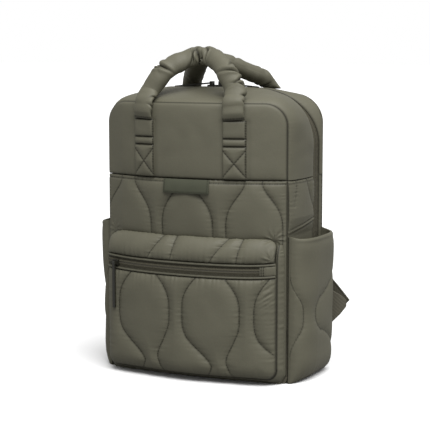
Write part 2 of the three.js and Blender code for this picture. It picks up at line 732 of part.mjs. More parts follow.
function pocketZip() {
  const reach = POCKET_HALF - 1;
  const ridge = (share) => (share === 0.5 ? BINDING_OUT : 0);
  const lowTop = POCKET_ZIP_LOW + BINDING_HEIGHT;
  const highFoot = POCKET_ZIP_HIGH - BINDING_HEIGHT;
  const endX = reach - ZIP_END_WIDTH;
  const lower = pocketBand(POCKET_ZIP_LOW, lowTop, -reach, reach, ridge, BINDING_WALL);
  const upper = pocketBand(highFoot, POCKET_ZIP_HIGH, -reach, reach, ridge, BINDING_WALL);
  addPiece('pocket_binding_lower', lower, cloth);
  addPiece('pocket_binding_upper', upper, cloth);
  const low = lowTop + GAP;
  const high = highFoot - GAP;
  const tape = pocketBand(low, high, -reach, endX - GAP, () => -ZIP_RECESS, POCKET_TAPE_BACK);
  addPiece('pocket_zip_tape', tape, zipCloth);
  const middle = (POCKET_ZIP_LOW + POCKET_ZIP_HIGH) / 2;
  const coilBack = GAP - ZIP_RECESS;
  const coil = pocketBand(
    middle - COIL_WIDTH / 2,
    middle + COIL_WIDTH / 2,
    -reach,
    endX - GAP,
    () => COIL_OUT + coilBack,
    -coilBack,
  );
  addPiece('pocket_zip_coil', coil, coilPlastic);
  const end = pocketBand(low, high, endX, reach, (s) => (s === 0.5 ? 1 : 0), POCKET_TAPE_BACK);
  addPiece('pocket_zip_end', end, cloth);
}

// Side pockets. out is the share of the pocket's width at a height, lines are its stitch lines.
const sidePocketSection = [
  { z: 1, out: 0.97, front: 0.02, rear: 0.93 },
  { z: 0.86, out: 1, front: 0.02, rear: 0.92 },
  { z: 0.74, out: 1, front: 0.02, rear: 0.83 },
  { z: 0.64, out: 1, front: 0.07, rear: 0.68 },
  { z: 0.55, out: 1, front: 0.2, rear: 0.54 },
  { z: 0.45, out: 1, front: 0.24, rear: 0.51 },
  { z: 0.34, out: 1, front: 0.2, rear: 0.55 },
  { z: 0.24, out: 1, front: 0.08, rear: 0.68 },
  { z: 0.15, out: 0.97, front: 0.02, rear: 0.82 },
  { z: 0.08, out: 0.85, front: 0.02, rear: 0.9 },
  { z: 0.035, out: 0.62, front: 0.02, rear: 0.92 },
  { z: 0, out: 0.25, front: 0.02, rear: 0.93 },
];

function sidePocket(name, side, more) {
  const startY = FRONT_Y + WALL + 1;
  const endY = BACK_Y - 0.5;
  const middleY = (startY + endY) / 2;
  const reachY = (endY - startY) / 2;
  const power = 2 / SIDE_POCKET_SQUARE;
  // A point round the pocket in plan, on a squarish oval
  const plan = (share, out) => {
    const angle = (share - 0.5) * Math.PI;
    const along = Math.sign(angle) * Math.abs(Math.sin(angle)) ** power;
    return { along, out: out * Math.max(0, Math.cos(angle)) ** power };
  };
  const top = SIDE_POCKET_TOP + more;
  // The rim hangs a little lower towards the front
  const sag = (share, z) => RIM_SAG * Math.sin(Math.PI * Math.sqrt(1 - share)) * (z / top) ** 6;
  const place = (share, out, shrink, z) => {
    const p = plan(share, out);
    return v3(side * (HALF + GAP + p.out), middleY + p.along * (reachY - shrink), z - sag(share, z));
  };
  const rows = sidePocketSection.map((row) => {
    const z = mix(SIDE_POCKET_FOOT, top, row.z);
    const lines = [0, row.front, row.rear, 1];
    const stops = [];
    for (let k = 0; k < 3; k += 1) {
      const width = lines[k + 1] - lines[k];
      const height = PUFF * 0.6 * (1 - Math.exp((-width * SIDE_DEPTH) / PUFF_SPREAD));
      puffShape.forEach((s) => stops.push({ share: lines[k] + s.share * width, puff: s.puff * height }));
    }
    stops.push({ share: 1, puff: 0 });
    const out = row.out * (SIDE_POCKET_OUT + more * (0.2 + row.z));
    return { z, out, stops, seam: pinch((top - z) * 1.2) };
  });
  const outer = rows.map((row) => row.stops.map((s) => {
    return place(s.share, row.out + s.puff * row.seam, 0, row.z);
  }));
  const inner = rows.map((row) => row.stops.map((s) => {
    const out = Math.max(row.out - SIDE_POCKET_WALL, row.out * 0.3);
    const lift = row.z < SIDE_POCKET_TOP * 0.2 ? Math.min(SIDE_POCKET_WALL, row.z * 0.2) : 0;
    return place(s.share, out, SIDE_POCKET_WALL, row.z + lift);
  }));
  addPiece(`side_pocket_${name}`, sheet(outer, inner), cloth);
}

// Handles. A padded tube along a path; the table's rows run from one end to the middle.

function mirrored(table) {
  const back = [...table].reverse().slice(1).map((row) => ({ ...row, x: -row.x }));
  return [...table, ...back];
}

// Oval rings square to the path, flat towards facing. turn follows the slope of the bowed front.
function tube(path, facing) {
  const curve = new THREE.CatmullRomCurve3(path.map((p) => v3(p.x, p.y, p.z)), false, 'centripetal');
  const count = (path.length - 1) * 2;
  const slope = (2 * SEAM_BOW * HANDLE_HALF) / HALF ** 2;
  const list = steps(0, 1, count).map((share) => {
    const at = share * (path.length - 1);
    const row = Math.min(Math.floor(at), path.length - 2);
    const read = (column) => mix(path[row][column], path[row + 1][column], at - row);
    const centre = curve.getPoint(share);
    const tangent = curve.getTangent(clamp(share, 0.001, 0.999));
    const local = facing.clone().setX(Math.sign(centre.x) * slope * read('turn'));
    const across = v3().crossVectors(tangent, local).normalize();
    const out = v3().crossVectors(across, tangent).normalize();
    return Array.from({ length: HANDLE_SIDES }, (_, k) => {
      const angle = ((k + 0.5) / HANDLE_SIDES) * 2 * Math.PI;
      return centre.clone()
        .addScaledVector(across, (read('wide') / 2) * Math.cos(angle))
        .addScaledVector(out, (read('thick') / 2) * Math.sin(angle));
    });
  });
  return rings(list);
}

function frontHandle() {
  const faceY = yokeSurface(HANDLE_HALF, HANDLE_HEM) - GAP;
  const rise = HANDLE_PEAK - HANDLE_HEM;
  const meet = HANDLE_MEET - PINCH_THICK / 2 - GAP;
  const rows = [
    { x: 1, back: 0, press: 1, up: 0, wide: 1.06, thick: 0.24, turn: 1 },
    { x: 1, back: 0, press: 1, up: 0.11, wide: 1.02, thick: 0.42, turn: 1 },
    { x: 0.99, back: 0.03, press: 1, up: 0.22, wide: 1, thick: 0.42, turn: 1 },
    { x: 0.98, back: 0.055, press: 1, up: 0.3, wide: 0.99, thick: 0.44, turn: 0.8 },
    { x: 0.965, back: 0.09, press: 0.1, up: 0.37, wide: 0.98, thick: 0.6, turn: 0.6 },
    { x: 0.94, back: 0.23, press: 0, up: 0.46, wide: 0.97, thick: 0.86, turn: 0.4 },
    { x: 0.84, back: 0.33, press: 0, up: 0.61, wide: 0.98, thick: 1, turn: 0.2 },
    { x: 0.72, back: 0.4, press: 0, up: 0.76, wide: 1.02, thick: 0.95, turn: 0 },
    { x: 0.59, back: 0.54, press: 0, up: 0.875, wide: 1.02, thick: 1.02, turn: 0 },
    { x: 0.41, back: 0.725, press: 0, up: 0.955, wide: 1, thick: 1.04, turn: 0 },
    { x: 0.21, back: 0.9, press: 0, up: 0.99, wide: 0.98, thick: 0.84, turn: 0 },
    { x: 0.075, back: 0.945, press: 0, up: 1, wide: 0.86, thick: 0.6, turn: 0 },
    { x: 0, back: 1, press: 0, up: 0.985, wide: PINCH_WIDE, thick: PINCH_THICK / HANDLE_THICK, turn: 0 },
  ].map((row) => ({
    x: -row.x * HANDLE_HALF,
    y: mix(faceY, meet, row.back) - (row.press * row.thick * HANDLE_THICK) / 2,
    z: HANDLE_HEM + row.up * rise,
    wide: row.wide * HANDLE_WIDTH,
    thick: row.thick * HANDLE_THICK,
    turn: row.turn,
  }));
  addPiece('handle_front', tube(mirrored(rows), v3(0, -1, 0.25)), cloth);
}

function rearHandle() {
  const seatQ = HANDLE_HALF / (HALF + ZIP_TOP - SIDE_TOP - ZIP_CORNER / 2);
  const legZ = stripPoint('zipRear', 'back', seatQ, 0.75, STRIP_CROWN).z + 3.6;
  const rise = HANDLE_PEAK - 3 - legZ;
  const meet = HANDLE_MEET + (PINCH_WIDE * HANDLE_WIDTH) / 2 + 2 * GAP;
  const rows = [
    { x: 0.97, ahead: 0, up: 0, wide: 1.05, thick: 0.4 },
    { x: 0.94, ahead: 0.03, up: 0.12, wide: 1, thick: 0.66 },
    { x: 0.885, ahead: 0.1, up: 0.24, wide: 0.94, thick: 0.86 },
    { x: 0.76, ahead: 0.25, up: 0.37, wide: 0.96, thick: 0.92 },
    { x: 0.6, ahead: 0.46, up: 0.54, wide: 0.98, thick: 0.95 },
    { x: 0.4, ahead: 0.69, up: 0.76, wide: 0.98, thick: 0.95 },
    { x: 0.2, ahead: 0.87, up: 0.95, wide: 0.94, thick: 0.76 },
    { x: 0.08, ahead: 0.965, up: 0.99, wide: 0.86, thick: 0.56 },
    { x: 0, ahead: 1, up: 1, wide: PINCH_WIDE, thick: PINCH_THICK / HANDLE_THICK },
  ].map((row) => ({
    x: -row.x * HANDLE_HALF,
    y: mix(REAR_LEG_Y, meet, row.ahead),
    z: legZ + row.up * rise,
    wide: row.wide * HANDLE_WIDTH,
    thick: row.thick * HANDLE_THICK,
    turn: 0,
  }));
  addPiece('handle_rear', tube(mirrored(rows), v3(0, 0.3, 1)), cloth);
}

// A flat stitched tab on the yoke, its top end held in the handle's hem
function handleTab(name, side) {
  const low = CROSS_SEAM + 2;
  const heights = steps(HANDLE_HEM - 3 * GAP, low, 6);
  const grid = (out) => heights.map((z) => steps(-TAB_WIDTH / 2, TAB_WIDTH / 2, 2).map((along) => {
    const x = side * HANDLE_HALF + along;
    return v3(x, yokeSurface(x, z) - TAB_CLEAR - out, z);
  }));
  addPiece(`handle_tab_${name}`, sheet(grid(TAB_THICK), grid(0)), cloth);
}

// Zip hardware. A slider lies along the zip; its two cheeks hold a pin that the pull's eye turns on.
// Local frame: X across the pin, Y along the pull, Z out of the cloth.

const PIN_HEIGHT = SLIDER_THICK + CHEEK_HEIGHT - EYE_RADIUS - 0.2;
const PIN_SPAN = PULL_WIDTH + 2 * GAP + 2 * CHEEK_THICK;

function sliderGeometry(along) {
  const length = along === 'x' ? SLIDER_LENGTH : SLIDER_WIDTH + 1;
  const width = along === 'x' ? SLIDER_WIDTH : SLIDER_LENGTH;
  const body = new THREE.BoxGeometry(Math.max(length, PIN_SPAN), width, SLIDER_THICK);
  body.translate(0, 0, SLIDER_THICK / 2);
  const cheek = (side) => {
    const plate = new THREE.BoxGeometry(CHEEK_THICK, CHEEK_LENGTH, CHEEK_HEIGHT + 0.4);
    plate.translate((side * (PIN_SPAN - CHEEK_THICK)) / 2, 0, SLIDER_THICK + (CHEEK_HEIGHT - 0.4) / 2);
    return plate;
  };
  const pin = new THREE.CylinderGeometry(PIN_RADIUS, PIN_RADIUS, PIN_SPAN - CHEEK_THICK, 12);
  pin.rotateZ(Math.PI / 2);
  pin.translate(0, 0, PIN_HEIGHT);
  return weld([body, cheek(-1), cheek(1), pin]);
}

// The pull's outline seen along the pin: a round eye, then a slim bar with a rounded end
function pullGeometry(length) {
  const start = Math.asin(PULL_THICK / 2 / EYE_RADIUS);
  const bar = new THREE.Shape();
  bar.absarc(0, 0, EYE_RADIUS, start, 2 * Math.PI - start, false);
  bar.lineTo(length - PULL_THICK / 2, -PULL_THICK / 2);
  bar.absarc(length - PULL_THICK / 2, 0, PULL_THICK / 2, -Math.PI / 2, Math.PI / 2, false);
  const eye = new THREE.Path();
  eye.absarc(0, 0, PIN_RADIUS + EYE_CLEARANCE, 0, 2 * Math.PI, true);
  bar.holes.push(eye);
  const flat = { depth: PULL_WIDTH, bevelEnabled: false, curveSegments: 5 };
  const geometry = new THREE.ExtrudeGeometry(bar, flat);
  geometry.translate(0, 0, -PULL_WIDTH / 2);
  geometry.applyMatrix4(new THREE.Matrix4().makeBasis(v3(0, 1, 0), v3(0, 0, 1), v3(1, 0, 0)));
  return geometry;
}

// frame is the slider's place: x along the pin, y along the pull, z out of the cloth
function zipHardware(sliderName, pullName, origin, pinWay, out, along, length, droop = 0) {
  const pullWay = v3().crossVectors(out, pinWay).normalize();
  const holder = new THREE.Group();
  holder.matrix.makeBasis(pinWay, pullWay, out).setPosition(origin);
  holder.matrix.decompose(holder.position, holder.quaternion, holder.scale);
  bag.add(holder);
  addPiece(sliderName, sliderGeometry(along), paintedMetal, holder);
  const pull = pullGeometry(length);
  pull.rotateX(-droop);
  pull.translate(0, 0, PIN_HEIGHT);
  addPiece(pullName, pull, paintedMetal, holder);
}

function pocketHardware() {
  const x = POCKET_SLIDER_X;
  const slope = (2 * POCKET_BOW * x) / POCKET_HALF ** 2;
  const out = v3(slope, -1, 0).normalize();
  const z = (POCKET_ZIP_LOW + POCKET_ZIP_HIGH) / 2;
  const lift = COIL_OUT + 2 * GAP - ZIP_RECESS;
  const origin = v3(x, pocketY(x, z) + pocketEdge(x), z).addScaledVector(out, lift);
  const pinWay = v3().crossVectors(v3(0, 0, -1), out).normalize();
  zipHardware('pocket_slider', 'pocket_pull', origin, pinWay, out, 'x', POCKET_PULL_LENGTH);
}

function topHardware(name, side) {
  const q = (side * TOP_SLIDER_X) / (HALF + ZIP_TOP - SIDE_TOP);
  const base = stripPoint('zipFront', 'zipRear', q, 0.5, COIL_OUT + 2 * GAP - ZIP_RECESS);
  const tilt = (-2 * stations.zipFront.dome * base.x) / HALF ** 2;
  const out = v3(-tilt, 0, 1).normalize();
  const pullWay = v3(side, 0, side * tilt).normalize();
  const pinWay = v3().crossVectors(pullWay, out).normalize();
  const tipDrop = PIN_HEIGHT + GAP - PULL_THICK / 2 + stations.zipFront.dome * (TOP_PULL_LENGTH / HALF) ** 2;
  const droop = Math.asin((tipDrop - GAP) / TOP_PULL_LENGTH);
  zipHardware(`slider_${name}`, `pull_${name}`, base, pinWay, out, 'y', TOP_PULL_LENGTH, droop);
}

// Straps behind the bag

function strapPatch() {
  const patch = new THREE.BoxGeometry(PATCH_WIDTH, PATCH_THICK, PATCH_HEIGHT);
  patch.translate(0, BACK_Y + GAP + PATCH_THICK / 2, PATCH_TOP - PATCH_HEIGHT / 2);
  addPiece('strap_patch', patch, cloth);
}

// A flat band along a path: each row gives its middle, its width and its thickness
function band(path) {
  const ring = (row, i) => {
    const before = path[Math.max(0, i - 1)];
    const after = path[Math.min(path.length - 1, i + 1)];
    const tangent = v3(after.x - before.x, after.y - before.y, after.z - before.z).normalize();
    const across = v3().crossVectors(tangent, row.facing ?? v3(0, 1, 0)).normalize();
    const out = v3().crossVectors(across, tangent).normalize();
    const soft = row.soft ?? 0;
    return [[-1, 0], [-1 + soft, 1], [1 - soft, 1], [1, 0], [1 - soft, -1], [-1 + soft, -1]].map(([a, b]) => {
      return v3(row.x, row.y, row.z)
        .addScaledVector(across, (a * row.wide) / 2)
        .addScaledVector(out, (b * row.thick) / 2);
    });
  };
  return rings(path.map(ring));
}

function shoulderStrap(name, side) {
  const top = PATCH_TOP - PATCH_HEIGHT + 12;
  const seat = BACK_Y + PATCH_THICK + 2 * GAP;
  const rows = [
    { down: 0, spread: 0, out: 0, wide: 0.8, thick: 0.35 },
    { down: 0.1, spread: 0.02, out: 0.12, wide: 0.86, thick: 0.7 },
    { down: 0.25, spread: 0.1, out: 0.5, wide: 0.95, thick: 1 },
    { down: 0.45, spread: 0.3, out: 0.9, wide: 1, thick: 1 },
    { down: 0.65, spread: 0.6, out: 1, wide: 0.98, thick: 1 },
    { down: 0.82, spread: 0.84, out: 0.88, wide: 0.84, thick: 0.95 },
    { down: 0.92, spread: 1.08, out: 0.72, wide: 0.62, thick: 0.7 },
    { down: 1, spread: 1.42, out: 0.62, wide: 0.46, thick: 0.4 },
  ].map((row) => ({
    x: side * (STRAP_X + row.spread * STRAP_SPREAD),
    y: seat + (row.thick * STRAP_THICK) / 2 + row.out * STRAP_OUT,
    z: mix(top, STRAP_FOOT, row.down),
    wide: row.wide * STRAP_WIDTH,
    thick: row.thick * STRAP_THICK,
    soft: 0.18,
  }));
  addPiece(`shoulder_strap_${name}`, band(rows), shadeCloth);
  return rows.at(-1);
}

// A ladder buckle under the strap's end, and the webbing from it to the wing
function strapEnd(name, side, foot) {
  const tip = v3(side * (WING_TIP_X - 3), WING_TIP_Y, WING_TIP_Z - 6);
  const start = v3(foot.x, foot.y, foot.z);
  const way = tip.clone().sub(start).normalize();
  const face = v3(0, 1, 0).addScaledVector(way, -way.y).normalize();
  const across = v3().crossVectors(way, face).normalize();
  const outer = new THREE.Shape();
  const [w, l] = [BUCKLE_WIDTH / 2, BUCKLE_LENGTH / 2];
  outer.moveTo(-w, -l).lineTo(w, -l).lineTo(w, l).lineTo(-w, l).lineTo(-w, -l);
  const slot = (low, high) => {
    const hole = new THREE.Path();
    const inside = w - BUCKLE_BAR;
    hole.moveTo(-inside, low).lineTo(-inside, high);
    hole.lineTo(inside, high).lineTo(inside, low).lineTo(-inside, low);
    return hole;
  };
  outer.holes.push(slot(-l + BUCKLE_BAR, -BUCKLE_BAR / 2), slot(BUCKLE_BAR / 2, l - BUCKLE_BAR));
  const buckle = new THREE.ExtrudeGeometry(outer, { depth: BUCKLE_THICK, bevelEnabled: false });
  buckle.translate(0, 0, -BUCKLE_THICK / 2);
  const centre = start.clone().addScaledVector(way, l + BUCKLE_CLEAR);
  buckle.applyMatrix4(new THREE.Matrix4().makeBasis(across, way, face).setPosition(centre));
  addPiece(`buckle_${name}`, buckle, buckleResin);
  const from = centre.clone().addScaledVector(face, BUCKLE_THICK / 2 + WEB_THICK / 2 + GAP);
  const to = tip.clone().addScaledVector(way, -4).addScaledVector(face, WING_THICK / 2 + WEB_THICK / 2 + GAP);
  const rows = steps(0, 1, 6).map((share) => {
    const p = from.clone().lerp(to, share).addScaledVector(face, WEB_BOW * Math.sin(Math.PI * share));
    return { x: p.x, y: p.y, z: p.z, wide: WEB_WIDTH, thick: WEB_THICK, soft: 0.06, facing: face };
  });
  addPiece(`webbing_${name}`, band(rows), webbingYarn);
}

// The triangular wing sewn over the back panel's margin, which holds the webbing's lower end
function strapWing(name, side) {
  const rootX = HALF - 18;
  const bendX = HALF - 2;
  const seatY = BACK_Y + GAP + WING_THICK / 2;
  const tipLow = WING_TIP_Z - 6;
  const tipHigh = WING_TIP_Z + 4;
  const partWay = (along, back, fall, dip) => ({
    x: mix(bendX, WING_TIP_X, along),
    y: mix(seatY, WING_TIP_Y, back),
    low: mix(WING_LOW, tipLow, fall),
    high: mix(WING_HIGH, tipHigh, dip),
  });
  const columns = [
    { x: rootX, y: seatY, low: WING_LOW, high: WING_HIGH },
    { x: bendX, y: seatY, low: WING_LOW - 1, high: WING_HIGH + 1 },
    partWay(0.3, 0.26, 0.212, 0.06),
    partWay(0.7, 0.68, 0.667, 0.56),
    { x: WING_TIP_X - 3, y: WING_TIP_Y, low: tipLow, high: tipHigh },
  ];
  const grid = (lift) => columns.map((c) => {
    return steps(c.low, c.high, 3).map((z) => v3(side * c.x, c.y + lift, z));
  });
  addPiece(`strap_wing_${name}`, sheet(grid(WING_THICK / 2), grid(-WING_THICK / 2)), webbingYarn);
}

// Assembly

frontYoke();
frontQuiltedPanel();
label();
topStrips();
mainZip();
basePanel();
backPanel();
pocketFace();
pocketShelf();
pocketBoxing();
pocketZip();
pocketHardware();
frontHandle();
rearHandle();
strapPatch();

for (const [name, side] of [['left', -1], ['right', 1]]) {
  sideStrips(name, side);
  sideWall(name, side);
  sidePocket(name, side, side < 0 ? LEFT_POCKET_MORE : 0);
  handleTab(name, side);
  topHardware(name, side);
  strapEnd(name, side, shoulderStrap(name, side));
  strapWing(name, side);
}

export default bag;
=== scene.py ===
# Quilted puffer backpack, dressed over its CAD frame. Laid out as a Blender add-on: each operator makes
# one piece or one group of like pieces, and main calls them in order. Lengths in the making are in
# millimetres, in the frame's own axes: +Z up, the quilted front faces -Y, origin in the middle of the base.

import math

import bmesh
import bpy
import numpy as np
from bpy.props import FloatProperty, FloatVectorProperty, PointerProperty
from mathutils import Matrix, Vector


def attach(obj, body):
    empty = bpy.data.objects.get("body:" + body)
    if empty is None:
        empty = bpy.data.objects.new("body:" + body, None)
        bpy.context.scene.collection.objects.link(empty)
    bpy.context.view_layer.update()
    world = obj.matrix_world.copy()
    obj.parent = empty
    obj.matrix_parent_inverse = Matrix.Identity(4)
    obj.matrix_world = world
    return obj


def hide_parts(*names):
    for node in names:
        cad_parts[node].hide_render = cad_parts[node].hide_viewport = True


bl_info = {
    "name": "Quilted Backpack",
    "version": (1, 0, 0),
    "blender": (4, 5, 0),
    "location": "View3D > Sidebar > Backpack",
    "description": "Builds the padded cloth, zips, straps and stage of a quilted backpack over its frame",
    "category": "Object",
}

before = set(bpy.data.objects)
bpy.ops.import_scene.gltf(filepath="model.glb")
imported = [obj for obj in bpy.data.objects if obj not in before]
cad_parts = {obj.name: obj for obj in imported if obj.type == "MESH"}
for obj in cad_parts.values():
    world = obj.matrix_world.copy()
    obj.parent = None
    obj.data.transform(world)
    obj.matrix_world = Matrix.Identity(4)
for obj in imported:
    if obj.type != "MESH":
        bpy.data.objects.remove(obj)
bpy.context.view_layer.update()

MM = 0.001

# Body of the bag, as in the frame
HALF = 135.0
FRONT_Y = -64.0
BACK_Y = 64.0
CROSS_SEAM = 278.0
SEAM_BOW = 31.0
BASE_BOW = 11.0
ZIP_BOW = 40.0
ZIP_REAR = 15.0
ZIP_BAND = 24.0
BASE_CORNER = 12.0
WALL = 4.0
GAP = 0.35
SIDE_TOP = 300.0
SIDE_BREAK = 150.0
PANEL_FOOT = 0.8

# Seams of the body: half width, height, how far the top domes, and the radius of its corners, which in
# the stuffed bag differs by a few millimetres from the frame's
SEAMS = {
    "front": dict(half=HALF, top=381.0, dome=0.5, corner=30.0),
    "zip_front": dict(half=HALF - 0.5, top=400.0, dome=6.0, corner=76.0),
    "zip_rear": dict(half=HALF - 0.5, top=400.0, dome=6.0, corner=74.0),
    "back": dict(half=HALF - 1, top=392.0, dome=4.0, corner=40.0),
}

# Boxing strip round the bag: its swell, more at the shoulders, and the length of half of its run over the top
STRIP_CROWN = 3.0
CORNER_CROWN = 6.0
CORNER_AT = 0.62
CORNER_SPREAD = 0.25
STRIP_RUN = 330.0
GUSSET_FRONT = 80.0
GUSSET_REAR = 30.0
SIDE_STRIP = 84.0
SIDE_STRIP_REAR = 12.0

# How the stuffed bag leans to its left, at its rear and more at its front, and squares its lower corners
LEAN_LEFT = 1.2
LEAN_OUT = 3.0
LEAN_RIGHT = 1.2
LEAN_AHEAD = 1.3
CORNER_DROP = 7.0

# Quilting. Rows of points lie close together above FINE_ABOVE, where the pockets don't hide the cloth
FINE_ABOVE = 192.0
TOPSTITCH = 4.6
QUILT_RISE = 69.0
NECK_HALF = 11.5
PANEL_QUILT = dict(centres=(-99.0, -3.5, 92.0), half=38.5, widest=207.0)
POCKET_QUILT = dict(centres=(-65.0, 38.0, 141.0), half=41.5, widest=95.0)
POCKET_SKEW = 14.0
SHELF_QUILT = dict(low_half=19.0, low_at=-41.0, high_half=10.0, high_at=-26.5, pitch=96.0)

# Front pocket
POCKET_HALF = 128.0
POCKET_OUT = 22.0
POCKET_BOW = 20.0
POCKET_BOTTOM = 10.0
POCKET_TOP = 204.0
POCKET_ZIP_LOW = 146.0
POCKET_ZIP_HIGH = 166.0
POCKET_CORNER = 14.0
POCKET_TURN_BACK = 3.0
BINDING_HEIGHT = 3.6
SHELF_ARC = 52.0
SHELF_DROP = 5.0
BOXING_WIDTH = 16.0
POCKET_TAPE = 12.0
POCKET_COIL = 3.0

# Zips
ZIP_RECESS = 1.8
ZIP_TAPE_WALL = 1.6
ZIP_END_WIDTH = 20.0
ZIP_COIL = 3.2
ZIP_RIDGE = 3.2

# Side pockets
SIDE_POCKET_TOP = 203.0
SIDE_POCKET_OUT = 25.0
LEFT_POCKET_MORE = 5.0
RIM_SAG = 5.0
SIDE_POCKET_WALL = 3.5
SIDE_POCKET_FOOT = 3.0
SIDE_POCKET_SQUARE = 2.7
SIDE_POCKET_GIRTH = 165.0
SIDE_POCKET_SLIM = 2.6
LEFT_RIM_RISE = 4.5
REAR_TUCK = 4.2

# Handles
HANDLE_HALF = 68.0
HANDLE_WIDTH = 29.0
HANDLE_THICK = 24.0
HANDLE_HEM = 359.0
HANDLE_PEAK = 441.0
HANDLE_MEET = -38.0
MEET_CLOSER = 6.5
PINCH_THICK = 11.0
PINCH_WIDE = 0.7
REAR_LEG_Y = 51.0
REAR_END = 26.0
TAB_WIDTH = 32.0
TAB_THICK = 2.4
TAB_CLEAR = 0.5
TAB_ROWS = (333.5, 323.0)
TAB_BOX_TOP = 318.5

# Label
LABEL_WIDTH = 69.0
LABEL_HEIGHT = 19.0
LABEL_THICK = 1.2
LABEL_SHIFT = -1.5

# Straps behind the bag
PAD_OUT = 6.0
PAD_GROOVES = (105, 180, 255)
MARGIN = 24.0
PATCH_WIDTH = 150.0
PATCH_HEIGHT = 42.0
PATCH_THICK = 3.0
PATCH_TOP = 386.0
STRAP_WIDTH = 60.0
STRAP_THICK = 11.0
STRAP_OUT = 30.0
STRAP_FOOT = 155.0
STRAP_X = 44.0
STRAP_SPREAD = 34.0
WING_TIP_X = 168.0
WING_TIP_Z = 92.0
WING_TIP_Y = 80.0
WING_THICK = 3.0
WEBBING_WIDTH = 20.0
WEBBING_THICK = 1.8

# The photograph's camera: its distance and angles round a point above the base, and its frame in pixels
FRAME_SIDE = 430.0
FOCAL_PX = 1400.0
SENSOR = 36.0
LOOK_AT = Vector((0.0, 0.0, 0.2))
CAMERA_FAR = 1.9904
CAMERA_AZIMUTH = 25.319
CAMERA_HEIGHT = 7.389
CENTRE_OFF_PX = (2.345, 12.945)


# Colours


def channel(value):
    """One sRGB channel turned linear."""
    return value / 12.92 if value <= 0.04045 else ((value + 0.055) / 1.055) ** 2.4


def linear(hex_colour, alpha=True):
    """An sRGB hex colour such as '#6b685b' as linear red, green, blue and, if asked for, alpha."""
    digits = hex_colour.lstrip("#")
    colour = tuple(channel(int(digits[i:i + 2], 16) / 255) for i in (0, 2, 4))
    return colour + (1.0,) if alpha else colour


def colour_property(name, description, hex_colour):
    return FloatVectorProperty(
        name=name, description=description, subtype="COLOR", size=3, min=0, max=1,
        default=linear(hex_colour, alpha=False),
    )


class BackpackSizes(bpy.types.PropertyGroup):
    """Sizes of the padding, its seams and its stitches."""

    quilt_puff: FloatProperty(
        name="Quilt puff", description="How far the quilting stands out between its stitch lines",
        default=5.2 * MM, unit="LENGTH")
    quilt_spread: FloatProperty(
        name="Quilt spread", description="Distance from a stitch line over which the padding rises",
        default=6.5 * MM, unit="LENGTH")
    seam_pinch: FloatProperty(
        name="Seam pinch", description="Distance from a seam over which the padding rises",
        default=8.0 * MM, unit="LENGTH")
    pucker: FloatProperty(
        name="Pucker", description="Depth of the small gathers beside seams and stitch lines",
        default=0.42 * MM, unit="LENGTH")
    stitch: FloatProperty(
        name="Stitch length", description="Length of one stitch and the gap after it",
        default=3.4 * MM, unit="LENGTH")


class BackpackColours(bpy.types.PropertyGroup):
    """Colours of the cloth, the hardware and the stage."""

    shell: colour_property("Shell", "Padded nylon of the panels, pockets and handles", "#5e5c4e")
    backing: colour_property("Backing", "Plainer cloth of the sides, base, back and straps", "#555246")
    tape: colour_property("Zip tape", "Woven tape of the zips", "#504d40")
    coil: colour_property("Zip coil", "Nylon coil of the zips", "#3d3a30")
    label: colour_property("Label", "Woven label, bare", "#45473a")
    enamel: colour_property("Enamel", "Painted metal of the sliders and pulls", "#26251e")
    webbing: colour_property("Webbing", "Webbing and the wings that hold it", "#5c594d")
    resin: colour_property("Resin", "Moulded buckles", "#34322a")
    thread: colour_property("Thread", "Sewing thread and the shade in the needle line", "#15130b")
    floor: colour_property("Floor", "Studio floor", "#f7f7f7")


def sizes():
    return bpy.context.scene.backpack_sizes


def colours():
    return bpy.context.scene.backpack_colours


# Small tools on arrays


def mix(a, b, share):
    return a + (b - a) * share


def pinch(distance, reach):
    """0 at a seam, rising to 1 over a few reaches away from it."""
    return 1 - np.exp(-np.maximum(0, distance) / reach)


def bell(distance, width):
    return np.exp(-((distance / width) ** 2))


def wave(along, length, seed):
    """A smooth irregular wave of about the given length, between about -1 and 1."""
    random = np.random.default_rng(seed)
    total = 0
    for k in range(5):
        stretch = 0.62 + 0.19 * k + 0.08 * random.random()
        total = total + np.sin(2 * np.pi * along / (length * stretch) + random.random() * 2 * np.pi)
    return total / 3


def drift(a, b, size, seed):
    """A soft irregular unevenness over a surface, between about -1 and 1."""
    random = np.random.default_rng(seed)
    total = 0
    for _ in range(7):
        turn = random.random() * 2 * np.pi
        length = size * (0.7 + 0.9 * random.random())
        along = a * np.cos(turn) + b * np.sin(turn)
        across = b * np.cos(turn) - a * np.sin(turn)
        bend = 0.35 * size * np.sin(2 * np.pi * across / (2.3 * size) + random.random() * 6)
        total = total + np.sin(2 * np.pi * (along + bend) / length + random.random() * 2 * np.pi)
    return total / 3.5


# Shape of the body, the frame's but for the corners in SEAMS


def bow_at(x):
    return 1 - (x / HALF) ** 2


def front_y(x, z):
    return FRONT_Y - mix(BASE_BOW, SEAM_BOW, np.clip(z / CROSS_SEAM, 0, 1)) * bow_at(x)


def zip_y(x):
    return BACK_Y - ZIP_REAR - ZIP_BAND / 2 - ZIP_BOW * bow_at(x)


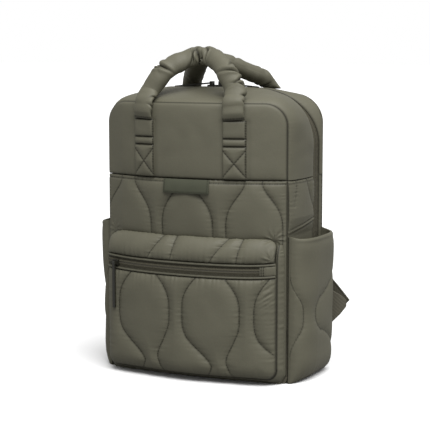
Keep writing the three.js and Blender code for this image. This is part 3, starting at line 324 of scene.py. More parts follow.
def outline(seam, q):
    """The bag's outline in x and z. q is 0 at the top middle, 1 at SIDE_TOP and 2 at the floor."""
    half, top, dome, corner = (SEAMS[seam][key] for key in ("half", "top", "dome", "corner"))
    side = np.where(q < 0, -1.0, 1.0)
    far = np.abs(q)
    low_z = SIDE_TOP * (2 - far)
    dip = np.clip(BASE_CORNER - low_z, 0, BASE_CORNER)
    low_x = half - BASE_CORNER + np.sqrt(BASE_CORNER ** 2 - dip ** 2)
    rise = top - dome - corner - SIDE_TOP
    arc = np.pi / 2 * corner
    run = (1 - far) * (rise + arc + half - corner)
    turn = np.clip((run - rise) / corner, 0, np.pi / 2)
    past = np.maximum(0, run - rise - arc)
    high_x = np.where(run <= rise, half, half - corner + corner * np.cos(turn) - past)
    bent_z = top - dome * (high_x / half) ** 2 - corner * (1 - np.sin(turn))
    high_z = np.where(run <= rise, SIDE_TOP + run, bent_z)
    upper = far < 1
    return side * np.where(upper, high_x, low_x), np.where(upper, high_z, low_z)


def outline_normal(seam, q):
    ax, az = outline(seam, q - 0.006)
    bx, bz = outline(seam, q + 0.006)
    length = np.hypot(bx - ax, bz - az)
    return -(bz - az) / length, (bx - ax) / length


SEAM_DEPTH = {
    "front": lambda x, z: front_y(x, z) + WALL + GAP,
    "zip_front": lambda x, z: zip_y(x) - ZIP_BAND / 2,
    "zip_rear": lambda x, z: zip_y(x) + ZIP_BAND / 2,
    "back": lambda x, z: x * 0 + BACK_Y - WALL - GAP,
}


def strip_point(start, end, q, share, lift):
    """Points of the boxing strip between two seams, lifted out of it, as an array of x, y, z."""
    ax, az = outline(start, q)
    bx, bz = outline(end, q)
    anx, anz = outline_normal(start, q)
    bnx, bnz = outline_normal(end, q)
    nx, nz = mix(anx, bnx, share), mix(anz, bnz, share)
    length = np.hypot(nx, nz)
    y = mix(SEAM_DEPTH[start](ax, az), SEAM_DEPTH[end](bx, bz), share)
    x = mix(ax, bx, share) + nx / length * lift
    z = mix(az, bz, share) + nz / length * lift
    return np.stack(np.broadcast_arrays(x, y, z), -1)


def q_at(z):
    return 2 - z / SIDE_TOP


def hoop(lowest, count):
    """Even stops along the outline from a height on one side, over the top, to the other."""
    far = q_at(lowest)
    side = np.linspace(1, far, max(3, int(count * (far - 1) * SIDE_TOP / 600)))
    top = np.linspace(0, 1, count // 2)
    half = np.concatenate([top, side[1:]])
    return np.concatenate([-half[:0:-1], half])


def panel_half(seam, z):
    half, top, corner = (SEAMS[seam][key] for key in ("half", "top", "corner"))
    rise = np.clip(z - (top - corner), 0, corner)
    dip = np.clip(BASE_CORNER - z, 0, BASE_CORNER)
    upper = half - corner + np.sqrt(corner ** 2 - rise ** 2)
    lower = half - BASE_CORNER + np.sqrt(BASE_CORNER ** 2 - dip ** 2)
    return np.minimum(upper, lower)


def dome_drop(seam, x, z):
    half, top, dome = (SEAMS[seam][key] for key in ("half", "top", "dome"))
    share = np.clip((z - SIDE_TOP) / (top - SIDE_TOP), 0, 1)
    return dome * share * (x / half) ** 2


def edge_distance(seam, x, z):
    """Distance inside a front or back panel from its rounded outline."""
    half, top, corner = (SEAMS[seam][key] for key in ("half", "top", "corner"))
    across, up = half - np.abs(x), top - z
    bend = corner - np.hypot(corner - across, corner - up)
    in_corner = (across < corner) & (up < corner)
    return np.maximum(0, np.where(in_corner, bend, np.minimum(across, up)))


def bulb_half(z, widest, half):
    """Half the width of a quilted bulb at a height: full at its widest place, narrow at its necks."""
    away = np.abs(((z - widest) / QUILT_RISE + 1) % 2 - 1)
    return mix(NECK_HALF, half, 0.5 * (1 + np.cos(np.pi * away ** 1.55)))


def line_distance(x, z, lines):
    """Distance to the nearest of the stitch lines, each a function of height, and which one it is."""
    gaps = []
    for line in lines:
        slope = line(z + 0.5) - line(z - 0.5)
        gaps.append(np.abs(x - line(z)) / np.sqrt(1 + slope ** 2))
    gaps = np.array(gaps)
    return gaps.min(0), gaps.argmin(0)


def thread_mark(distance, along):
    """How much thread and needle shade shows at a distance from a stitch line, in dashes along it."""
    dash = 0.78 + 0.22 * np.sign(np.sin(2 * np.pi * along / (sizes().stitch / MM)))
    return bell(distance, 0.85) * dash


def seam_shade(distance, width=1.0):
    """The dark line of a sewn seam at a distance from it: its thread, with painted shade in the seam's
    groove.
    """
    return 0.9 * bell(np.maximum(0, distance), width)


# Making meshes


def settle(points):
    """Lets the stuffed bag lean a little to its left and stand square on its lower front corners."""
    x, y, z = points[:, 0], points[:, 1], points[:, 2]
    edge = np.minimum(1, np.abs(x) / HALF) ** 4
    ahead = np.clip((-y - 20) / 44, 0, 1)
    lean = np.where(x < 0, -LEAN_LEFT - LEAN_OUT * ahead, LEAN_RIGHT * (1 - ahead) - 2 * LEAN_AHEAD * ahead)
    corner = np.minimum(1, np.abs(x) / HALF) ** 8 * np.clip(-y / 64, 0, 1) ** 2
    corner = corner * np.exp(-np.maximum(0, z) / 12)
    drop = np.minimum(CORNER_DROP * corner, 0.9 * np.maximum(0, z))
    return np.stack([x + lean * edge, y, z - drop], -1)


def new_object(name, points, faces, attributes=None, uv=None, sharp=50):
    """A mesh object at the origin from points in millimetres. Faces are turned outwards."""
    mesh = bpy.data.meshes.new(name)
    mesh.from_pydata((settle(np.asarray(points, float)) * MM).tolist(), [], faces)
    for key, values in (attributes or {}).items():
        mesh.attributes.new(key, "FLOAT", "POINT").data.foreach_set("value", np.asarray(values, np.float32))
    if uv is not None:
        layer = mesh.uv_layers.new(name="cloth")
        corners = np.empty(len(mesh.loops), np.int32)
        mesh.loops.foreach_get("vertex_index", corners)
        layer.data.foreach_set("uv", (np.asarray(uv, np.float32) * MM)[corners].ravel())
    shape = bmesh.new()
    shape.from_mesh(mesh)
    bmesh.ops.recalc_face_normals(shape, faces=shape.faces)
    shape.to_mesh(mesh)
    shape.free()
    mesh.polygons.foreach_set("use_smooth", np.ones(len(mesh.polygons), bool))
    mesh.set_sharp_from_angle(angle=math.radians(sharp))
    piece = bpy.data.objects.new(name, mesh)
    bpy.context.scene.collection.objects.link(piece)
    return piece


def stops(count, stride):
    return np.unique(np.round(np.linspace(0, count - 1, max(2, round((count - 1) / stride) + 1))).astype(int))


def padded_sheet(name, outer, inner, attributes=None, uv=None, stride=5):
    """A closed sheet: a fine outer face, a coarser inner face and a rim round them."""
    rows, cols = outer.shape[:2]
    ri, ci = stops(rows, stride), stops(cols, stride)
    back = inner[np.ix_(ri, ci)]
    a = np.arange(rows * cols).reshape(rows, cols)
    b = rows * cols + np.arange(len(ri) * len(ci)).reshape(len(ri), len(ci))
    faces = np.stack([a[:-1, :-1], a[:-1, 1:], a[1:, 1:], a[1:, :-1]], -1).reshape(-1, 4).tolist()
    faces += np.stack([b[:-1, :-1], b[1:, :-1], b[1:, 1:], b[:-1, 1:]], -1).reshape(-1, 4).tolist()
    for k in range(len(ci) - 1):
        fine = slice(ci[k], ci[k + 1] + 1)
        faces.append(a[0, fine].tolist()[::-1] + [int(b[0, k]), int(b[0, k + 1])])
        faces.append(a[-1, fine].tolist() + [int(b[-1, k + 1]), int(b[-1, k])])
    for k in range(len(ri) - 1):
        fine = slice(ri[k], ri[k + 1] + 1)
        faces.append(a[fine, 0].tolist() + [int(b[k + 1, 0]), int(b[k, 0])])
        faces.append(a[fine, -1].tolist()[::-1] + [int(b[k, -1]), int(b[k + 1, -1])])
    points = np.concatenate([outer.reshape(-1, 3), back.reshape(-1, 3)])
    extra = len(ri) * len(ci)
    marks = {key: np.concatenate([np.broadcast_to(v, (rows, cols)).ravel(), np.zeros(extra)])
             for key, v in (attributes or {}).items()}
    flat = None
    if uv is not None:
        flat = np.concatenate([uv.reshape(-1, 2), uv[np.ix_(ri, ci)].reshape(-1, 2)])
    return new_object(name, points, faces, marks, flat)


def ring_solid(name, rings, attributes=None, uv=None, sharp=50):
    """A closed solid through rings of points, with its ends capped."""
    count, around = rings.shape[:2]
    a = np.arange(count * around).reshape(count, around)
    b = np.roll(a, -1, axis=1)
    faces = np.stack([a[:-1], b[:-1], b[1:], a[1:]], -1).reshape(-1, 4).tolist()
    faces.append(a[0].tolist()[::-1])
    faces.append(a[-1].tolist())
    marks = {key: np.broadcast_to(v, (count, around)).ravel() for key, v in (attributes or {}).items()}
    flat = uv.reshape(-1, 2) if uv is not None else None
    return new_object(name, rings.reshape(-1, 3), faces, marks, flat, sharp)


def grid_normals(points):
    """Unit normals of a grid of points, by its two directions."""
    across = np.gradient(points, axis=1)
    up = np.gradient(points, axis=0)
    normal = np.cross(across, up)
    return normal / np.linalg.norm(normal, axis=-1, keepdims=True)


def smooth_path(points, count):
    """Points evenly placed along a smooth curve through the given ones, and the share of each."""
    points = np.asarray(points, float)
    chord = np.sqrt(np.linalg.norm(np.diff(points, axis=0), axis=1))
    knots = np.concatenate([[0], np.cumsum(chord)])
    slopes = np.gradient(points, knots, axis=0)
    where = np.linspace(0, knots[-1], count * 6)
    k = np.clip(np.searchsorted(knots, where, side="right") - 1, 0, len(knots) - 2)
    span = (knots[k + 1] - knots[k])[:, None]
    t = ((where - knots[k]) / span[:, 0])[:, None]
    curve = ((2 * t ** 3 - 3 * t ** 2 + 1) * points[k] + (t ** 3 - 2 * t ** 2 + t) * span * slopes[k]
             + (3 * t ** 2 - 2 * t ** 3) * points[k + 1] + (t ** 3 - t ** 2) * span * slopes[k + 1])
    run = np.concatenate([[0], np.cumsum(np.linalg.norm(np.diff(curve, axis=0), axis=1))])
    even = np.linspace(0, run[-1], count)
    placed = np.stack([np.interp(even, run, curve[:, i]) for i in range(3)], -1)
    share = np.interp(even, run, (k + t[:, 0]) / (len(knots) - 1))
    return placed, share, run[-1]


def finish(piece, material, nodes, body="bag"):
    """Gives a piece its material, its body and the frame nodes that it stands for."""
    piece.data.materials.clear()
    piece.data.materials.append(material)
    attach(piece, body)
    if nodes:
        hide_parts(*nodes)
    return piece


# Materials


def add_node(tree, kind, settings=None, sockets=None):
    """Adds a node with its settings. A socket is given a value or another node's output."""
    node = tree.nodes.new(kind)
    for name, value in (settings or {}).items():
        setattr(node, name, value)
    for name, value in (sockets or {}).items():
        if isinstance(value, bpy.types.NodeSocket):
            tree.links.new(value, node.inputs[name])
        else:
            node.inputs[name].default_value = value
    return node


def start_material(name):
    material = bpy.data.materials.get(name)
    if material:
        return material, None, None
    material = bpy.data.materials.new(name)
    material.use_nodes = True
    tree = material.node_tree
    return material, tree, tree.nodes["Principled BSDF"]


def opaque(colour, shade=1.0):
    return tuple(c * shade for c in colour) + (1.0,)


def cloth_material(name, colour, weave_mm, roughness, sheen, crease):
    """Woven cloth: uneven dye, a fine weave and soft small creases, with its stitch lines in dark thread and
    painted shade in its seams, creases and gaps.
    """
    material, tree, shader = start_material(name)
    if tree is None:
        return material
    place = add_node(tree, "ShaderNodeTexCoord").outputs["Object"]
    # Cloth dye takes unevenly over a few centimetres
    dye = add_node(tree, "ShaderNodeTexNoise", None,
                   {"Vector": place, "Scale": 1 / (45 * MM), "Detail": 3.0, "Roughness": 0.55})
    dyed = add_node(tree, "ShaderNodeMix", {"data_type": "RGBA"},
                    {0: dye.outputs["Fac"], 6: opaque(colour, 0.9), 7: opaque(colour, 1.1)})
    # Yarns catch the light one by one; the real ones are about a quarter of a millimetre apart, too fine
    # to show, so the weave is drawn coarser
    weave = add_node(tree, "ShaderNodeTexNoise", None,
                     {"Vector": place, "Scale": 1 / (weave_mm * MM), "Detail": 2.0, "Roughness": 0.7})
    fleck = add_node(tree, "ShaderNodeMix", {"data_type": "RGBA", "blend_type": "MULTIPLY"},
                     {0: 0.16, 6: dyed.outputs[2], 7: weave.outputs["Color"]})
    # The stitch attribute holds thread and painted shade together, and both are mixed towards the dark thread
    # colour
    stitch = add_node(tree, "ShaderNodeAttribute", {"attribute_name": "stitch"})
    sewn = add_node(tree, "ShaderNodeMix", {"data_type": "RGBA"},
                    {0: stitch.outputs["Fac"], 6: fleck.outputs[2], 7: opaque(colours().thread)})
    soft = add_node(tree, "ShaderNodeTexNoise", None,
                    {"Vector": place, "Scale": 1 / (14 * MM), "Detail": 4.0, "Roughness": 0.6})
    creased = add_node(tree, "ShaderNodeBump", None,
                       {"Strength": crease, "Distance": 1.2 * MM, "Height": soft.outputs["Fac"]})
    woven = add_node(tree, "ShaderNodeBump", None,
                     {"Strength": 0.25, "Distance": 0.25 * MM, "Height": weave.outputs["Fac"],
                      "Normal": creased.outputs["Normal"]})
    tree.links.new(sewn.outputs[2], shader.inputs["Base Color"])
    tree.links.new(woven.outputs["Normal"], shader.inputs["Normal"])
    shader.inputs["Roughness"].default_value = roughness
    shader.inputs["Sheen Weight"].default_value = sheen
    shader.inputs["Sheen Roughness"].default_value = 0.5
    shader.inputs["Sheen Tint"].default_value = opaque(colour, 2.0)
    shader.inputs["Specular IOR Level"].default_value = 0.25
    return material


def shell_nylon():
    # Downproof nylon taffeta, calendered: a dense flat weave with a soft satin light on every puff
    return cloth_material("calendered_nylon_taffeta", colours().shell, 1.1, 0.55, 0.06, 0.3)


def backing_nylon():
    # Plain-woven nylon over foam: flatter and duller than the shell
    return cloth_material("plain_woven_nylon", colours().backing, 1.3, 0.7, 0.05, 0.2)


def label_weave():
    # Damask-woven polyester: matt, with a tight even grain
    return cloth_material("damask_woven_polyester", colours().label, 0.9, 0.85, 0.03, 0.05)


def ribbed_material(name, colour, pitch_mm, roughness):
    """Narrow woven goods: ribs that run along the piece and fine ticks across it."""
    material, tree, shader = start_material(name)
    if tree is None:
        return material
    flat = add_node(tree, "ShaderNodeUVMap", {"uv_map": "cloth"}).outputs["UV"]
    rib = add_node(tree, "ShaderNodeTexWave", {"bands_direction": "Y", "wave_profile": "SIN"},
                   {"Vector": flat, "Scale": 0.314 / (pitch_mm * MM), "Distortion": 0.3, "Detail": 1.0})
    tick = add_node(tree, "ShaderNodeTexWave", {"bands_direction": "DIAGONAL", "wave_profile": "SIN"},
                    {"Vector": flat, "Scale": 0.314 / (1.6 * pitch_mm * MM), "Distortion": 1.0,
                     "Detail": 1.0})
    height = add_node(tree, "ShaderNodeMath", {"operation": "MULTIPLY"},
                      {0: rib.outputs["Fac"], 1: tick.outputs["Fac"]})
    # Painted light and shade: the tops of the ribs are drawn lighter and the grooves between them darker
    shade = add_node(tree, "ShaderNodeMix", {"data_type": "RGBA"},
                     {0: height.outputs[0], 6: opaque(colour, 0.82), 7: opaque(colour, 1.15)})
    # The stitch attribute holds thread and painted shade together, and both are mixed towards the dark thread
    # colour
    stitch = add_node(tree, "ShaderNodeAttribute", {"attribute_name": "stitch"})
    sewn = add_node(tree, "ShaderNodeMix", {"data_type": "RGBA"},
                    {0: stitch.outputs["Fac"], 6: shade.outputs[2], 7: opaque(colours().thread)})
    bump = add_node(tree, "ShaderNodeBump", None,
                    {"Strength": 0.5, "Distance": 0.3 * MM, "Height": height.outputs[0]})
    tree.links.new(sewn.outputs[2], shader.inputs["Base Color"])
    tree.links.new(bump.outputs["Normal"], shader.inputs["Normal"])
    shader.inputs["Roughness"].default_value = roughness
    shader.inputs["Specular IOR Level"].default_value = 0.2
    return material


def zip_tape_weave():
    # Polyester zip tape: matt, in a fine herringbone
    return ribbed_material("herringbone_zip_tape", colours().tape, 1.2, 0.8)


def webbing_weave():
    # Nylon webbing: flat ribs along its length with a slight gleam
    return ribbed_material("ribbed_nylon_webbing", colours().webbing, 1.6, 0.65)


def hard_material(name, colour, roughness, metallic, coat, grain_mm, grain):
    """A painted or moulded surface with the faint unevenness of its finish and rubbed spots."""
    material, tree, shader = start_material(name)
    if tree is None:
        return material
    place = add_node(tree, "ShaderNodeTexCoord").outputs["Object"]
    rub = add_node(tree, "ShaderNodeTexNoise", None,
                   {"Vector": place, "Scale": 1 / (9 * MM), "Detail": 3.0, "Roughness": 0.6})
    shade = add_node(tree, "ShaderNodeMix", {"data_type": "RGBA"},
                     {0: rub.outputs["Fac"], 6: opaque(colour, 0.88), 7: opaque(colour, 1.16)})
    gloss = add_node(tree, "ShaderNodeMapRange", None,
                     {"Value": rub.outputs["Fac"], "To Min": roughness * 0.85, "To Max": roughness * 1.15})
    skin = add_node(tree, "ShaderNodeTexNoise", None,
                    {"Vector": place, "Scale": 1 / (grain_mm * MM), "Detail": 1.0})
    bump = add_node(tree, "ShaderNodeBump", None,
                    {"Strength": grain, "Distance": 0.1 * MM, "Height": skin.outputs["Fac"]})
    tree.links.new(shade.outputs[2], shader.inputs["Base Color"])
    tree.links.new(gloss.outputs["Result"], shader.inputs["Roughness"])
    tree.links.new(bump.outputs["Normal"], shader.inputs["Normal"])
    shader.inputs["Metallic"].default_value = metallic
    shader.inputs["Coat Weight"].default_value = coat
    shader.inputs["Coat Roughness"].default_value = 0.25
    return material


def slider_enamel():
    # Stove enamel on cast zinc: smooth and satin, a shade glossier where fingers rub it
    return hard_material("stove_enamel_on_zinc", colours().enamel, 0.38, 0.25, 0.3, 0.6, 0.15)


def coil_nylon():
    # Extruded nylon monofilament: close ribs with a dull gleam
    return hard_material("extruded_nylon_coil", colours().coil, 0.45, 0.0, 0.0, 0.8, 0.2)


def buckle_acetal():
    # Injection-moulded acetal: even, satin, with a faint sparked grain
    return hard_material("moulded_acetal", colours().resin, 0.42, 0.0, 0.0, 0.5, 0.3)


# Bag body


def quilt_relief(x, z, lines, seed):
    """Height of quilted cloth over its stitch lines with gathers beside them, and the distance to them."""
    gap, nearest = line_distance(x, z, lines)
    puff = sizes().quilt_puff / MM * pinch(gap, sizes().quilt_spread / MM)
    gathers = sum(np.where(nearest == k, wave(z, 6.5, seed + k), 0) for k in range(len(lines)))
    puckers = sizes().pucker / MM * gathers * np.exp(-gap / 4.5) * pinch(gap, 0.8)
    return puff + puckers + 0.45 * drift(x, z, 55, seed) * pinch(gap, 9), gap


def edge_gathers(x, z, edge, seed):
    """Gathers that run in from the panel's sewn edge."""
    around = np.where(np.abs(x) > HALF - 26, z, x)
    broken = 0.5 + 0.5 * np.tanh(2 * wave(around, 23, seed + 7))
    return 0.6 * broken * wave(around, 5.0, seed) * np.exp(-edge / 4.5) * pinch(edge, 1.2)


def taut_left(x):
    """How tightly the front cloth is drawn to its left-hand seam, from 0 to 1."""
    return np.clip((-x - 108) / 20, 0, 1)


def fan(x, z, at_x, at_z, reach, count, depth):
    """Wrinkles that fan out from a point."""
    away = np.hypot(x - at_x, z - at_z)
    turn = np.arctan2(z - at_z, x - at_x)
    folds = np.sin(count * turn + 0.16 * away) + 0.5 * np.sin(1.7 * count * turn + 2)
    return depth * folds * bell(away - 0.5 * reach, 0.45 * reach)


def bulb_lines(quilt, skew=lambda z: 0):
    lines = []
    for centre in quilt["centres"]:
        for side in (-1, 1):
            lines.append(lambda z, c=centre, s=side:
                         c + skew(z) + s * bulb_half(z, quilt["widest"], quilt["half"]))
    return lines


def across_panel(count, edge_stops=(0.997, 0.991, 0.983)):
    """Shares across a panel, closer at its edges."""
    ends = np.array(edge_stops)
    return np.unique(np.concatenate([np.linspace(-1, 1, count), ends, -ends]))


def make_front_yoke():
    seam = "front"
    corner = SEAMS[seam]["corner"]
    straight = SEAMS[seam]["top"] - corner
    low = np.linspace(CROSS_SEAM + GAP, straight, 44)
    high = straight + corner * np.sin(np.linspace(0, np.pi / 2, 16))[1:]
    z = np.concatenate([low, high])[:, None]
    share = across_panel(150)[None, :]
    x = share * panel_half(seam, z)
    z = z + x * 0
    edge = edge_distance(seam, x, z)
    reach = sizes().seam_pinch / MM
    puff = 2.8 * pinch(edge, reach) * pinch(z - CROSS_SEAM, reach)
    puff += 0.6 * drift(x, z, 120, 3) * pinch(edge, 20) + 0.22 * drift(x, z, 34, 4) * pinch(edge, 10)
    puff += edge_gathers(x, z, edge, 11) * 0.5
    puff += 0.35 * wave(x, 9, 12) * np.exp(-(z - CROSS_SEAM) / 5)
    taut = taut_left(x)
    puff *= 1 - 0.85 * taut
    # The handle tabs press the cloth flat beside them
    for side in (-1, 1):
        puff -= 1.1 * bell(np.abs(x - side * HANDLE_HALF) - TAB_WIDTH / 2 - 1, 3.5) * (z < HANDLE_HEM)
    roll = 3.0 * (1 - 0.8 * taut) * np.exp(-edge / 1.1) + 2.2 * np.exp(-(z - CROSS_SEAM) / 1.1)
    drop = dome_drop(seam, x, z)
    outer = np.stack([x, front_y(x, z) - puff + roll, z - drop], -1)
    inner = np.stack([x, front_y(x, z) + WALL, z - drop], -1)
    mark = np.maximum(seam_shade(edge, 1.0), seam_shade(z - CROSS_SEAM, 0.9))
    piece = padded_sheet("front_yoke_cloth", outer, inner, {"stitch": mark})
    finish(piece, shell_nylon(), ["front_yoke"])


def make_front_quilted_panel():
    seam = "front"
    low_rows = np.linspace(PANEL_FOOT, FINE_ABOVE, 14)[:-1]
    z = np.concatenate([low_rows, np.linspace(FINE_ABOVE, CROSS_SEAM - GAP, 74)])[:, None]
    x = across_panel(216)[None, :] * panel_half(seam, z)
    z = z + x * 0
    edge = edge_distance(seam, x, z)
    reach = sizes().seam_pinch / MM
    relief, gap = quilt_relief(x, z, bulb_lines(PANEL_QUILT), 21)
    under = CROSS_SEAM - z
    flat = pinch(edge, reach) * pinch(under - 2.5, reach) * pinch(z - POCKET_TOP + 9, 5)
    gathers = edge_gathers(x, z, edge, 23) * (1 + 0.5 * (x > 0)) + 0.5 * wave(x, 8, 24) * np.exp(-under / 6)
    # Wrinkles fan out from the pocket's two upper corners
    gathers += fan(x, z, 121, 199, 15, 9, 0.6) + fan(x, z, -123, 200, 13, 8, 0.4)
    taut = taut_left(x)
    flat = flat * (1 - 0.7 * taut)
    roll = 2.8 * (1 - 0.8 * taut) * np.exp(-edge / 1.1)
    roll = roll + 2.2 * np.exp(-under / 1.2) + 1.3 * bell(under - TOPSTITCH, 1.0)
    shown = z > POCKET_TOP - 14
    outer = np.stack([x, front_y(x, z) - (relief * flat + gathers * shown) + roll, z], -1)
    inner = np.stack([x, front_y(x, z) + WALL, z], -1)
    mark = np.maximum(thread_mark(gap, z), thread_mark(under - TOPSTITCH, x)) * shown
    mark = np.maximum(mark, np.maximum(seam_shade(edge, 0.7), seam_shade(under, 0.8)))
    piece = padded_sheet("front_panel_quilting", outer, inner, {"stitch": np.clip(mark, 0, 1)})
    finish(piece, shell_nylon(), ["front_quilted_panel"])


def make_label():
    top = CROSS_SEAM - 0.5
    z = np.linspace(top, top - LABEL_HEIGHT, 22)[:, None]
    along = np.linspace(-LABEL_WIDTH / 2, LABEL_WIDTH / 2, 70)[None, :]
    x = along + LABEL_SHIFT + z * 0
    z = z + along * 0
    lift = 6 * pinch(CROSS_SEAM - z, 9) + GAP
    round_off = 0.5 * np.exp(-(LABEL_WIDTH / 2 - np.abs(along)) / 0.8)
    round_off = round_off + 0.5 * np.exp(-(z - top + LABEL_HEIGHT) / 0.8)
    y = front_y(x, z) - lift
    outer = np.stack([x, y - LABEL_THICK + round_off + 0.12 * drift(x, z, 22, 31), z], -1)
    hem = np.minimum(LABEL_WIDTH / 2 - np.abs(along), z - top + LABEL_HEIGHT)
    mark = 0.55 * thread_mark(hem - 2, x + z)
    piece = padded_sheet("woven_label", outer, np.stack([x, y, z], -1), {"stitch": mark})
    finish(piece, label_weave(), ["label_patch"])


def strip_relief(q, share, width, crown, seed):
    """Swell of a boxing strip between its two seams, with gathers along both."""
    near, far = share * width, (1 - share) * width
    along = q * STRIP_RUN
    swell = crown * pinch(near, 9) * pinch(far, 9)
    gathers = 0.4 * wave(along, 6, seed) * np.exp(-near / 5) * pinch(near, 1.2)
    gathers += 0.5 * wave(along, 7, seed + 1) * np.exp(-far / 5) * pinch(far, 1.2)
    crease = 1.7 * np.exp(-near / 1.0) + 1.2 * np.exp(-far / 1.1)
    soft = 0.5 * drift(along, share * width, 70, seed + 2) * pinch(near, 15) * pinch(far, 15)
    return swell + gathers + soft - crease


def strip_sheet(name, start, end, qs, columns, width, crown, seed, mark=None):
    q = qs[:, None]
    share = across_panel(columns, (0.985, 0.96))[None, :] / 2 + 0.5
    lift = strip_relief(q, share, width, crown(q), seed)
    outer = strip_point(start, end, q, share, lift)
    inner = strip_point(start, end, q, share, -WALL + q * 0)
    stitch = np.maximum(seam_shade(share * width, 0.7), seam_shade((1 - share) * width, 0.8)) + q * 0
    if mark:
        stitch = np.maximum(stitch, mark(q, share))
    return padded_sheet(name, outer, inner, {"stitch": np.clip(stitch, 0, 1)})


def make_gussets():
    qs = hoop(CROSS_SEAM + GAP, 230)

    def swell(q):
        return STRIP_CROWN + 1 + CORNER_CROWN * np.exp(-(((np.abs(q) - CORNER_AT) / CORNER_SPREAD) ** 2))

    def zip_stitching(q, share):
        return 0.8 * thread_mark((1 - share) * GUSSET_FRONT - 3, q * STRIP_RUN)

    def even_swell(q):
        return STRIP_CROWN + q * 0

    front = strip_sheet("gusset_over_front", "front", "zip_front", qs, 36, GUSSET_FRONT, swell, 41,
                        zip_stitching)
    finish(front, shell_nylon(), ["top_gusset_front"])
    rear = strip_sheet("gusset_over_rear", "zip_rear", "back", qs, 14, GUSSET_REAR, even_swell, 45)
    finish(rear, shell_nylon(), ["top_gusset_rear"])


def make_side_strips():
    for name, side in (("left", -1), ("right", 1)):
        low_rows = np.linspace(FINE_ABOVE + 4, SIDE_BREAK + GAP, 7)[1:]
        z = np.concatenate([np.linspace(CROSS_SEAM - GAP, FINE_ABOVE + 4, 66), low_rows])
        q = side * q_at(z)[:, None]
        share = across_panel(58, (0.985, 0.96))[None, :] / 2 + 0.5
        z = z[:, None] + share * 0
        width = SIDE_STRIP
        free = np.clip((z - SIDE_POCKET_TOP + 1) / 24, 0, 1)
        under = CROSS_SEAM - z
        # One stitch line of the quilting crosses the strip, down from the seam and back to the zip
        line = (lambda h: width * (0.60 + 0.06 * np.clip((CROSS_SEAM - h) / 14, 0, 1)
                                   + 0.30 * np.clip((CROSS_SEAM - 8 - h) / 34, 0, 1.6) ** 1.4))
        # A short one beside the front seam runs out into gathers
        near_line = (lambda h: 19 - 8 * np.clip((CROSS_SEAM - h) / 40, 0, 1.5) ** 1.2)
        near_gap, _ = line_distance(share * width, z, [near_line])
        near_gap = np.where(z > 240, near_gap, 30)
        gap, _ = line_distance(share * width, z, [line])
        puff = 2.4 * pinch(gap, 6) * pinch(under, 8) * (0.6 + 0.4 * pinch(near_gap, 4))
        puff += 0.8 * wave(z, 4.6, 53) * np.exp(-near_gap / 4) * bell(under - 12, 18)
        # Folds slant across the strip at the side pocket's mouth
        slant = z - SIDE_POCKET_TOP - 0.14 * share * width
        puff -= 2.0 * bell(slant - 1, 1.2) + 1.6 * bell(slant - 6.5, 1.0) - 1.4 * bell(slant - 3.8, 1.6)
        lift = strip_relief(q, share, width, STRIP_CROWN + q * 0, 51 + side) + puff
        lift += 0.9 * wave(share * width, 5.5, 54) * bell(under - 14, 12) * bell(share * width - 66, 12)
        lift += 0.5 * wave(share * width, 8, 55) * np.exp(-under / 6) - 1.8 * np.exp(-under / 1.5)
        outer = strip_point("front", "zip_front", q, share, lift * free)
        inner = strip_point("front", "zip_front", q, share, -WALL + q * 0)
        mark = np.maximum(thread_mark(gap, z), thread_mark(under - TOPSTITCH, share * width))
        mark = np.maximum(mark, 0.7 * thread_mark(near_gap, z) * bell(under, 26))
        # Painted shade darkens the two creases of the slanting folds at the pocket's mouth
        mark = np.maximum(mark, 0.5 * bell(slant - 1, 1.0) + 0.4 * bell(slant - 6.5, 0.8))
        mark = np.maximum(mark, 0.8 * thread_mark((1 - share) * width - 3, z)) * (z > 190)
        seams = np.maximum(seam_shade(share * width, 0.7), seam_shade((1 - share) * width, 0.8))
        mark = np.maximum(mark, np.maximum(seams, seam_shade(under)))
        piece = padded_sheet(f"side_quilting_{name}", outer, inner, {"stitch": np.clip(mark, 0, 1)})
        finish(piece, shell_nylon(), [f"side_strip_front_{name}"])
        qs = side * q_at(np.linspace(CROSS_SEAM - GAP, SIDE_BREAK + GAP, 60))
        crown = lambda q: 2 * np.clip((SIDE_TOP * (2 - np.abs(q)) - SIDE_POCKET_TOP - 1) / 24, 0, 1)
        rear = strip_sheet(f"side_rear_strip_{name}", "zip_rear", "back", qs, 10, SIDE_STRIP_REAR, crown,
                           57 + side)
        finish(rear, shell_nylon(), [f"side_strip_rear_{name}"])


def make_plain_walls():
    # The lower side walls lie behind the side pockets; the base is what the bag stands on
    for name, side in (("left", -1), ("right", 1)):
        q = side * q_at(np.linspace(SIDE_BREAK - GAP, BASE_CORNER + GAP, 40))[:, None]
        share = np.linspace(0, 1, 36)[None, :]
        dent = 0.4 * drift(q * SIDE_TOP, share * 120, 45, 61 + side) * np.sin(np.pi * share) - 0.4
        outer = strip_point("front", "back", q, share, dent)
        inner = strip_point("front", "back", q, share, -WALL + q * 0)
        piece = padded_sheet(f"side_wall_{name}", outer, inner, {"stitch": share * 0})
        finish(piece, backing_nylon(), [f"side_panel_{name}"])
    turn = np.linspace(0, np.pi / 2, 9)
    corner_x = HALF - BASE_CORNER + BASE_CORNER * np.cos(turn)
    corner_z = BASE_CORNER * (1 - np.sin(turn))
    flat = np.linspace(1, -1, 40)[1:-1] * (HALF - BASE_CORNER)
    x = np.concatenate([corner_x, flat, -corner_x[::-1]])
    z = np.concatenate([corner_z, flat * 0, corner_z[::-1]])
    share = np.linspace(0, 1, 26)[:, None]
    y = mix(front_y(x, 0) + WALL + GAP, x * 0 + BACK_Y - WALL - GAP, share)
    wall = 1 - WALL / BASE_CORNER
    lean = np.abs(x) > HALF - BASE_CORNER
    inner_x = np.where(lean, np.sign(x) * (HALF - BASE_CORNER + (np.abs(x) - HALF + BASE_CORNER) * wall), x)
    inner_z = np.where(lean, BASE_CORNER - (BASE_CORNER - z) * wall, WALL)
    outer = np.stack(np.broadcast_arrays(x, y, z + 0.0 * share), -1)
    inner = np.stack(np.broadcast_arrays(inner_x, y, inner_z + 0.0 * share), -1)
    piece = padded_sheet("base_cloth", outer, inner, {"stitch": share * 0 + x * 0})
    finish(piece, backing_nylon(), ["base_panel"])


